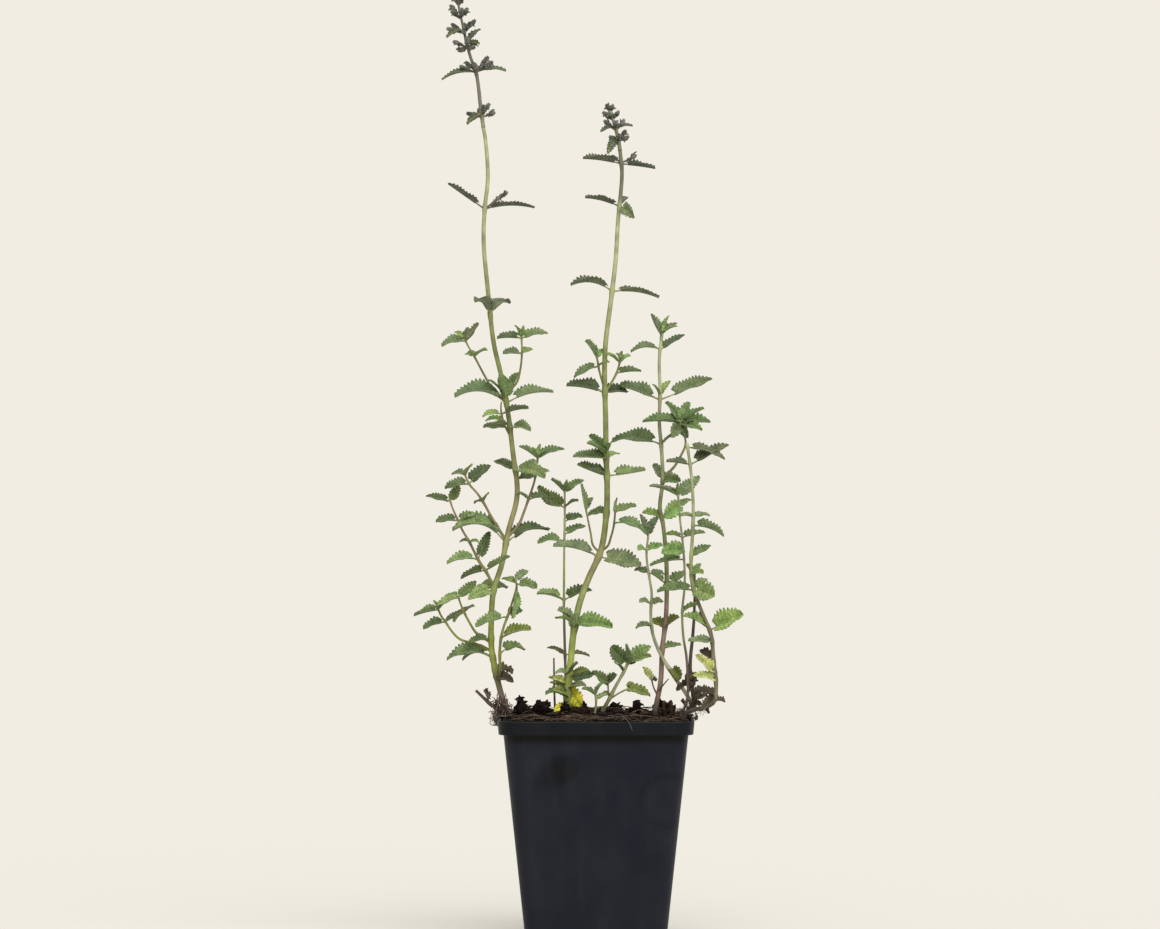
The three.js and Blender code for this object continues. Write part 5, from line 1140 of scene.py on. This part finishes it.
def soil_material():
    soil = Shader("soil_crumb", **{"Specular IOR Level": 0.06})
    crumb = soil.noise(700.0, 8.0)
    fibre = soil.noise(1500.0, 4.0, (0.3, 1.0, 1.0))
    speckle = soil.ramp(crumb, (0.32, (0.45, 0.42, 0.4)), (0.55, 1), (0.78, (2.1, 1.9, 1.7)))
    soil.surface["Base Color"] = soil.mix("MULTIPLY", soil.tint(), speckle)
    soil.surface["Roughness"] = soil.ramp(fibre, (0.3, 0.8), (0.7, 0.98))
    soil.surface["Normal"] = soil.bump(crumb, 0.9, 0.0012, soil.bump(fibre, 0.5, 0.0004))
    return soil.finish()


# ---------------------------------------------------------------- pot

CORNER_SIDES = 14
POT_TINT = np.array((0.01, 0.013, 0.018))


def rounded_square(half, radius, z):
    points = []
    reach = half - radius
    for corner in range(4):
        start = corner * math.pi / 2
        x = reach * math.cos(start) - reach * math.sin(start)
        y = reach * math.sin(start) + reach * math.cos(start)
        for angle in np.linspace(start, start + math.pi / 2, CORNER_SIDES + 1):
            points.append((x + radius * math.cos(angle), y + radius * math.sin(angle), z))
    return np.array(points)


RIM_LOW = POT["height"] - POT["rim_depth"]
LEDGE = POT["height"] - POT["ledge_drop"]


def body_half(z):
    return POT["base_half"] + (POT["body_top_half"] - POT["base_half"]) * z / RIM_LOW


def corner_radius(z):
    return POT["corner_base"] + (POT["corner_top"] - POT["corner_base"]) * z / POT["height"]


def pot_ring(half, z, inset=0.0):
    return rounded_square(half - inset, max(corner_radius(z) - inset, 0.5), z)


def make_pot(material):
    """The wall from the floor's middle up the outside, over the rim and down the inside."""
    height, wall, floor, rim_half = POT["height"], POT["wall"], POT["floor"], POT["rim_half"]
    band, base = POT["rim_low_half"], POT["base_half"]
    middle = base * 0.05
    profile = [  # half width, height and inset
        (base - 1.2, 0.0, 0), (body_half(0.3), 0.25, 0.35), (body_half(1.0), 1.0, 0),
        *((body_half(z), z, 0) for z in np.linspace(4, RIM_LOW - 1.2, 18)),
        (body_half(RIM_LOW), RIM_LOW - 0.35, 0), (body_half(RIM_LOW), RIM_LOW, -0.15),
        (band, RIM_LOW, 0.35), (band, RIM_LOW + 0.1, 0.1), (band, RIM_LOW + 0.45, 0),
        (rim_half - 0.05, height - 0.8, 0), (rim_half, height - 0.45, 0),
        (rim_half, height - 0.12, 0.12), (rim_half, height, 0.4), (rim_half, height, wall - 0.3),
        (rim_half, height - 0.2, wall - 0.05), (rim_half - 0.1, height - 0.7, wall),
        (band, LEDGE + 0.2, wall), (band, LEDGE, wall + 0.3),
        (body_half(LEDGE), LEDGE, wall - 0.2), (body_half(LEDGE), LEDGE - 0.4, wall),
        (body_half(floor), floor + 0.5, wall), (body_half(floor), floor, wall + 0.6),
    ]
    rings = [
        rounded_square(middle, middle / 2, 0.0), *(pot_ring(*level) for level in profile),
        rounded_square(middle, middle / 2, floor),
    ]
    growth = Growth([material])
    growth.add(np.vstack(rings), POT_TINT, tube_faces(len(rings), len(rings[0])), 0)
    piece = growth.build("pot_moulded")
    for x in (-1, 1):
        for y in (-1, 1):
            cut_drain(piece, x * POT["drain_offset"], y * POT["drain_offset"])
    sharpen(piece, 40)
    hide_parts("pot")
    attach(piece, "root")


def cut_drain(piece, x, y):
    bpy.ops.mesh.primitive_cylinder_add(
        vertices=40, radius=POT["drain_radius"] * MM, depth=6 * POT["floor"] * MM,
        location=(x * MM, y * MM, 0),
    )
    drill = bpy.context.object
    cut = piece.modifiers.new("drain", "BOOLEAN")
    cut.object = drill
    cut.operation = "DIFFERENCE"
    cut.solver = "EXACT"
    apply_modifiers(piece)
    bpy.data.objects.remove(drill)


def apply_modifiers(piece):
    graph = bpy.context.evaluated_depsgraph_get()
    made = bpy.data.meshes.new_from_object(piece.evaluated_get(graph))
    piece.modifiers.clear()
    piece.data = made


def sharpen(piece, degrees):
    """Smooth faces, with a hard edge wherever two of them meet at more than this angle."""
    mesh = piece.data
    mesh.polygons.foreach_set("use_smooth", [True] * len(mesh.polygons))
    mesh.set_sharp_from_angle(angle=math.radians(degrees))


# ---------------------------------------------------------------- soil

# Large chips of bark: place, half lengths and turn.
CHIPS = table("""
    -31 -14 102.6 3 4 3.6 20, -34.5 -24 104 3.2 3.4 8.4 8, -26.5 -25 103.5 3.4 3.4 6.4 40,
    -24 20 103 4 3 4 70, -8 24 103 4.5 3 5 30, -14 -20 102.5 2.6 3 7 15, -4.5 -26 101.5 2 3 6 60,
    9 20 103 4 3.5 4 45, 19 -16 103 3.4 3 7 25, 33 -20 102.5 4.2 3.4 7.4 65,
    30 24 102.5 4 4 5 20, -34 31 101.5 3 3 3.6 5""")
ROOTS = [
    table("-38 -36 100.6, -28 -38.5 102.6, -17 -37 100.4"),
    table("-20 -38 100.4, -8 -39.5 102.4, 4 -37.5 100.4"),
    table("4 -36.5 101, 12 -42.5 102.2, 15 -47.2 99.6, 16.5 -47.8 96"),
    table("8 -33 101, 20 -38 102.6, 31 -35 100.8"),
    table("-26 38 100.4, -10 36 102.8, 6 38.5 100.4"),
    table("12 38 100.4, 26 36.5 102.6, 38 33 100.4"),
]
ROOT_RADIUS = 0.32
SMALL_CHIPS = 260
LUMPS = 26  # round each large chip
LUMP_SPAN = 0.72
LOOSE_FIBRES = 170
SOIL_TINT = np.array((0.0052, 0.0034, 0.0027))
BARK_TINT = np.array((0.031, 0.018, 0.013))
FIBRE_TINT = np.array((0.125, 0.09, 0.062))
ROOTLET_TINT = np.array((0.075, 0.08, 0.09))
HANGING_ROOT = 2  # this root hangs over the rim
SOIL_HALF = 43  # where the surface reaches its edge
CRUMB_WAVES = ((5.1, 0.34), (2.9, 0.26), (1.7, 0.2), (1.05, 0.14))  # length and height
FIBRE_REACH = 41.5


def surface_height(x, y, share):
    ripple = np.sin(x * 0.31 + 1.3) * np.cos(y * 0.27 - 0.4) + np.sin(x * 0.13 - y * 0.19)
    crown = SOIL["edge_height"] + SOIL["crown"] * (1 - share ** 2)
    return crown + SOIL["bump"] * ripple * (1 - share ** 6)


def crumbs(x, y):
    """Fine lumps of peat, from a few crossed waves of unlike lengths."""
    rough = np.zeros_like(x)
    for k, (length, height) in enumerate(CRUMB_WAVES):
        turn = 0.7 + 1.9 * k
        u = x * math.cos(turn) + y * math.sin(turn)
        w = -x * math.sin(turn) + y * math.cos(turn)
        bend = 1.3 * np.sin(w * 2.2 / length + k)
        wave = np.sin(2 * math.pi * u / length + bend)
        rough += height * wave * np.cos(2 * math.pi * w / length - bend)
    return rough


def soil_body(growth):
    inset = POT["wall"] + SOIL["gap"]
    low, ledge = POT["floor"] + SOIL["gap"], LEDGE + SOIL["gap"]
    rings = [
        rounded_square(1.0, 0.5, low), pot_ring(body_half(low), low, inset),
        pot_ring(body_half(LEDGE), ledge, inset), pot_ring(POT["rim_low_half"], ledge, inset),
    ]
    for share in np.linspace(1, 0.012, 90):
        half = (POT["rim_low_half"] - inset) * share
        outline = rounded_square(half, (corner_radius(POT["height"]) - inset) * share, 0.0)
        x, y = outline[:, 0], outline[:, 1]
        rough = crumbs(x, y) * min(1.0, (1 - share) * 12)
        outline[:, 2] = surface_height(x, y, share) + rough
        rings.append(outline)
    points = np.vstack(rings)
    lump = crumbs(points[:, 0] * 0.6, points[:, 1] * 0.6)[:, None]
    growth.add(points, SOIL_TINT * (1 + 0.8 * lump), tube_faces(len(rings), len(rings[0])), 0)


ICO = (1 + 5 ** 0.5) / 2
ICO_POINTS = unit(np.array([
    (-1, ICO, 0), (1, ICO, 0), (-1, -ICO, 0), (1, -ICO, 0), (0, -1, ICO), (0, 1, ICO),
    (0, -1, -ICO), (0, 1, -ICO), (ICO, 0, -1), (ICO, 0, 1), (-ICO, 0, -1), (-ICO, 0, 1),
]))
ICO_FACES = [
    (0, 11, 5), (0, 5, 1), (0, 1, 7), (0, 7, 10), (0, 10, 11), (1, 5, 9), (5, 11, 4), (11, 10, 2),
    (10, 7, 6), (7, 1, 8), (3, 9, 4), (3, 4, 2), (3, 2, 6), (3, 6, 8), (3, 8, 9), (4, 9, 5),
    (2, 4, 11), (6, 2, 10), (8, 6, 7), (9, 8, 1),
]


def finer(points, faces):
    """Each triangle split in four, on the unit sphere."""
    points, made, middles = list(points), [], {}

    def middle(a, b):
        key = (min(a, b), max(a, b))
        if key not in middles:
            points.append(unit((points[a] + points[b]) / 2))
            middles[key] = len(points) - 1
        return middles[key]

    for a, b, c in faces:
        ab, bc, ca = middle(a, b), middle(b, c), middle(c, a)
        made += [(a, ab, ca), (b, bc, ab), (c, ca, bc), (ab, bc, ca)]
    return np.array(points), made


def tumbled(random):
    """A turn about all three axes."""
    axes = np.linalg.qr(random.normal(0, 1, (3, 3)))[0]
    return axes if np.linalg.det(axes) > 0 else -axes


def chip(growth, centre, size, turn, tint, random, detail):
    points, faces = ICO_POINTS, ICO_FACES
    for _ in range(detail):
        points, faces = finer(points, faces)
    waves = points @ random.uniform(-6, 6, (3, 4)) + random.uniform(0, 6, 4)
    rough = 1 + 0.16 * np.sin(waves).sum(axis=1)
    split = 1 - 0.12 * np.abs(np.sin(points[:, 2] * 7 + points[:, 0] * 3))
    local = points * (rough * split)[:, None] * np.array(size)
    if turn is None:
        spun = local @ tumbled(random)
    else:
        c, s = math.cos(turn), math.sin(turn)
        spun = local @ np.array([[c, s, 0], [-s, c, 0], [0, 0, 1]])
    # Painted shade: lighter towards the chip's own top and darker towards its underside; for a tumbled chip
    # that top points anywhere.
    shade = (0.7 + 0.6 * (points[:, 2] * 0.5 + 0.5))[:, None]
    growth.add(spun + centre, tint * shade, faces, 0)


def make_soil(material):
    random = np.random.default_rng(SEEDS["soil"])
    growth = Growth([material])
    soil_body(growth)
    for k, (x, y, z, half_x, half_y, half_z, turn) in enumerate(CHIPS):
        tint = SOIL_TINT * 1.2 if k % 3 else BARK_TINT * 0.7
        size = np.array((half_x, half_y, half_z))
        chip(growth, (x, y, z), size * LUMP_SPAN, math.radians(turn), tint, random, 2)
        for _ in range(LUMPS):
            way = unit(random.normal(0, 1, 3) * (1, 1, 0.8))
            centre = np.array((x, y, z)) + way * size * LUMP_SPAN
            lump = random.uniform(0.5, 1.25) * np.array((random.uniform(1, 2.2), 0.95, 0.55))
            chip(growth, centre, lump, None, tint * random.uniform(0.5, 1.8), random, 1)
    for _ in range(SMALL_CHIPS):
        x, y = random.uniform(-40.5, 40.5, 2)
        share = max(abs(x), abs(y)) / SOIL_HALF
        size = random.uniform(0.5, 1.7) * np.array((1.4, 0.8, random.uniform(0.4, 0.9)))
        tint = BARK_TINT * random.uniform(0.35, 1.5) if random.random() < 0.5 else SOIL_TINT * 1.3
        centre = (x, y, surface_height(x, y, share) + size[2] * 0.3)
        chip(growth, centre, size, random.uniform(0, 6.3), tint, random, 1)
    for k, path in enumerate(ROOTS):
        line = smooth_line(path, 0.9)
        radii = np.linspace(ROOT_RADIUS, ROOT_RADIUS * 0.6, len(line))
        growth.add_tube(line, radii, 7, ROOTLET_TINT if k == HANGING_ROOT else FIBRE_TINT * 0.7, 0)
    for _ in range(LOOSE_FIBRES):
        loose_fibre(growth, random)
    piece = growth.build("soil_crumbled")
    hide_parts("soil")
    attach(piece, "root")


def loose_fibre(growth, random):
    """A hair root that lies on the surface, mostly along the front and back rims."""
    length = random.uniform(5, 17)
    x, y = random.uniform(-38, 38), random.uniform(-39.5, 39.5)
    if random.random() < 0.5:
        y = math.copysign(random.uniform(33, 40), y)
    heading = random.uniform(-0.5, 0.5) + (math.pi if random.random() < 0.5 else 0)
    walked = np.linspace(0, 1, 9)
    bend = random.uniform(-1.2, 1.2)
    bow = bend * walked * (1 - walked) * 0.4
    xs = x + length * walked * math.cos(heading)
    ys = y + length * (walked * math.sin(heading) + bow)
    xs, ys = np.clip((xs, ys), -FIBRE_REACH, FIBRE_REACH)
    share = np.maximum(np.abs(xs), np.abs(ys)) / SOIL_HALF
    rise = random.uniform(0.2, 2.6) * np.sin(math.pi * walked)
    line = np.stack([xs, ys, surface_height(xs, ys, share) + 0.1 + rise], axis=1)
    radius = random.uniform(0.09, 0.24)
    radii = np.linspace(radius, radius * 0.5, 9)
    growth.add_tube(line, radii, 5, FIBRE_TINT * random.uniform(0.3, 1.3), 0)


# ---------------------------------------------------------------- stage, light and camera

BACKGROUND = (0.887, 0.847, 0.761)
SUN_STRENGTH = 3.2
SUN_HEADING = (math.radians(42), 0.0, math.radians(30))
SUN_SPREAD = math.radians(75)
FLOOR_GLOW = 0.45  # share of the floor's light that a shadow leaves


def make_stage():
    bpy.ops.mesh.primitive_plane_add(size=40, location=(0, 0, 0))
    floor = bpy.context.object
    floor.name = "floor"
    # The floor gives back as much light as the sky behind it, so the two meet with no line.
    sun_on_floor = SUN_STRENGTH * math.cos(SUN_HEADING[0]) / math.pi
    paper = Shader("floor_paper", **{
        "Base Color": [(1 - FLOOR_GLOW) * c / (c + sun_on_floor) for c in BACKGROUND],
        "Emission Color": BACKGROUND, "Emission Strength": FLOOR_GLOW,
        "Roughness": 1.0, "Specular IOR Level": 0.0,
    })
    floor.data.materials.append(paper.finish())

    world = bpy.data.worlds.new("studio")
    world.use_nodes = True
    world.node_tree.nodes["Background"].inputs["Color"].default_value = (*BACKGROUND, 1)
    bpy.context.scene.world = world

    sun = bpy.data.objects.new("key", bpy.data.lights.new("key", "SUN"))
    sun.data.energy = SUN_STRENGTH
    sun.data.angle = SUN_SPREAD
    sun.rotation_euler = SUN_HEADING
    bpy.context.scene.collection.objects.link(sun)
    bpy.context.scene.view_settings.view_transform = "Standard"


def make_camera():
    camera = bpy.data.objects.new("camera", bpy.data.cameras.new("camera"))
    middle = place((DRAWING["middle_x"], 0, DRAWING["middle_z"])) * MM
    camera.location = (middle[0], -CAMERA["distance"], middle[2])
    camera.rotation_euler = (math.pi / 2, 0, 0)
    camera.data.sensor_width = CAMERA["sensor"]
    reach = CAMERA["distance"] + CAMERA["picture_plane"]
    camera.data.lens = CAMERA["sensor"] * reach / CAMERA["picture_width"]
    camera.data.clip_end = 100
    bpy.context.scene.collection.objects.link(camera)
    bpy.context.scene.camera = camera


# ---------------------------------------------------------------- put together

make_stage()
make_camera()
make_pot(pot_material())
make_soil(soil_material())
make_plant([stem_material(), leaf_material(), calyx_material()])
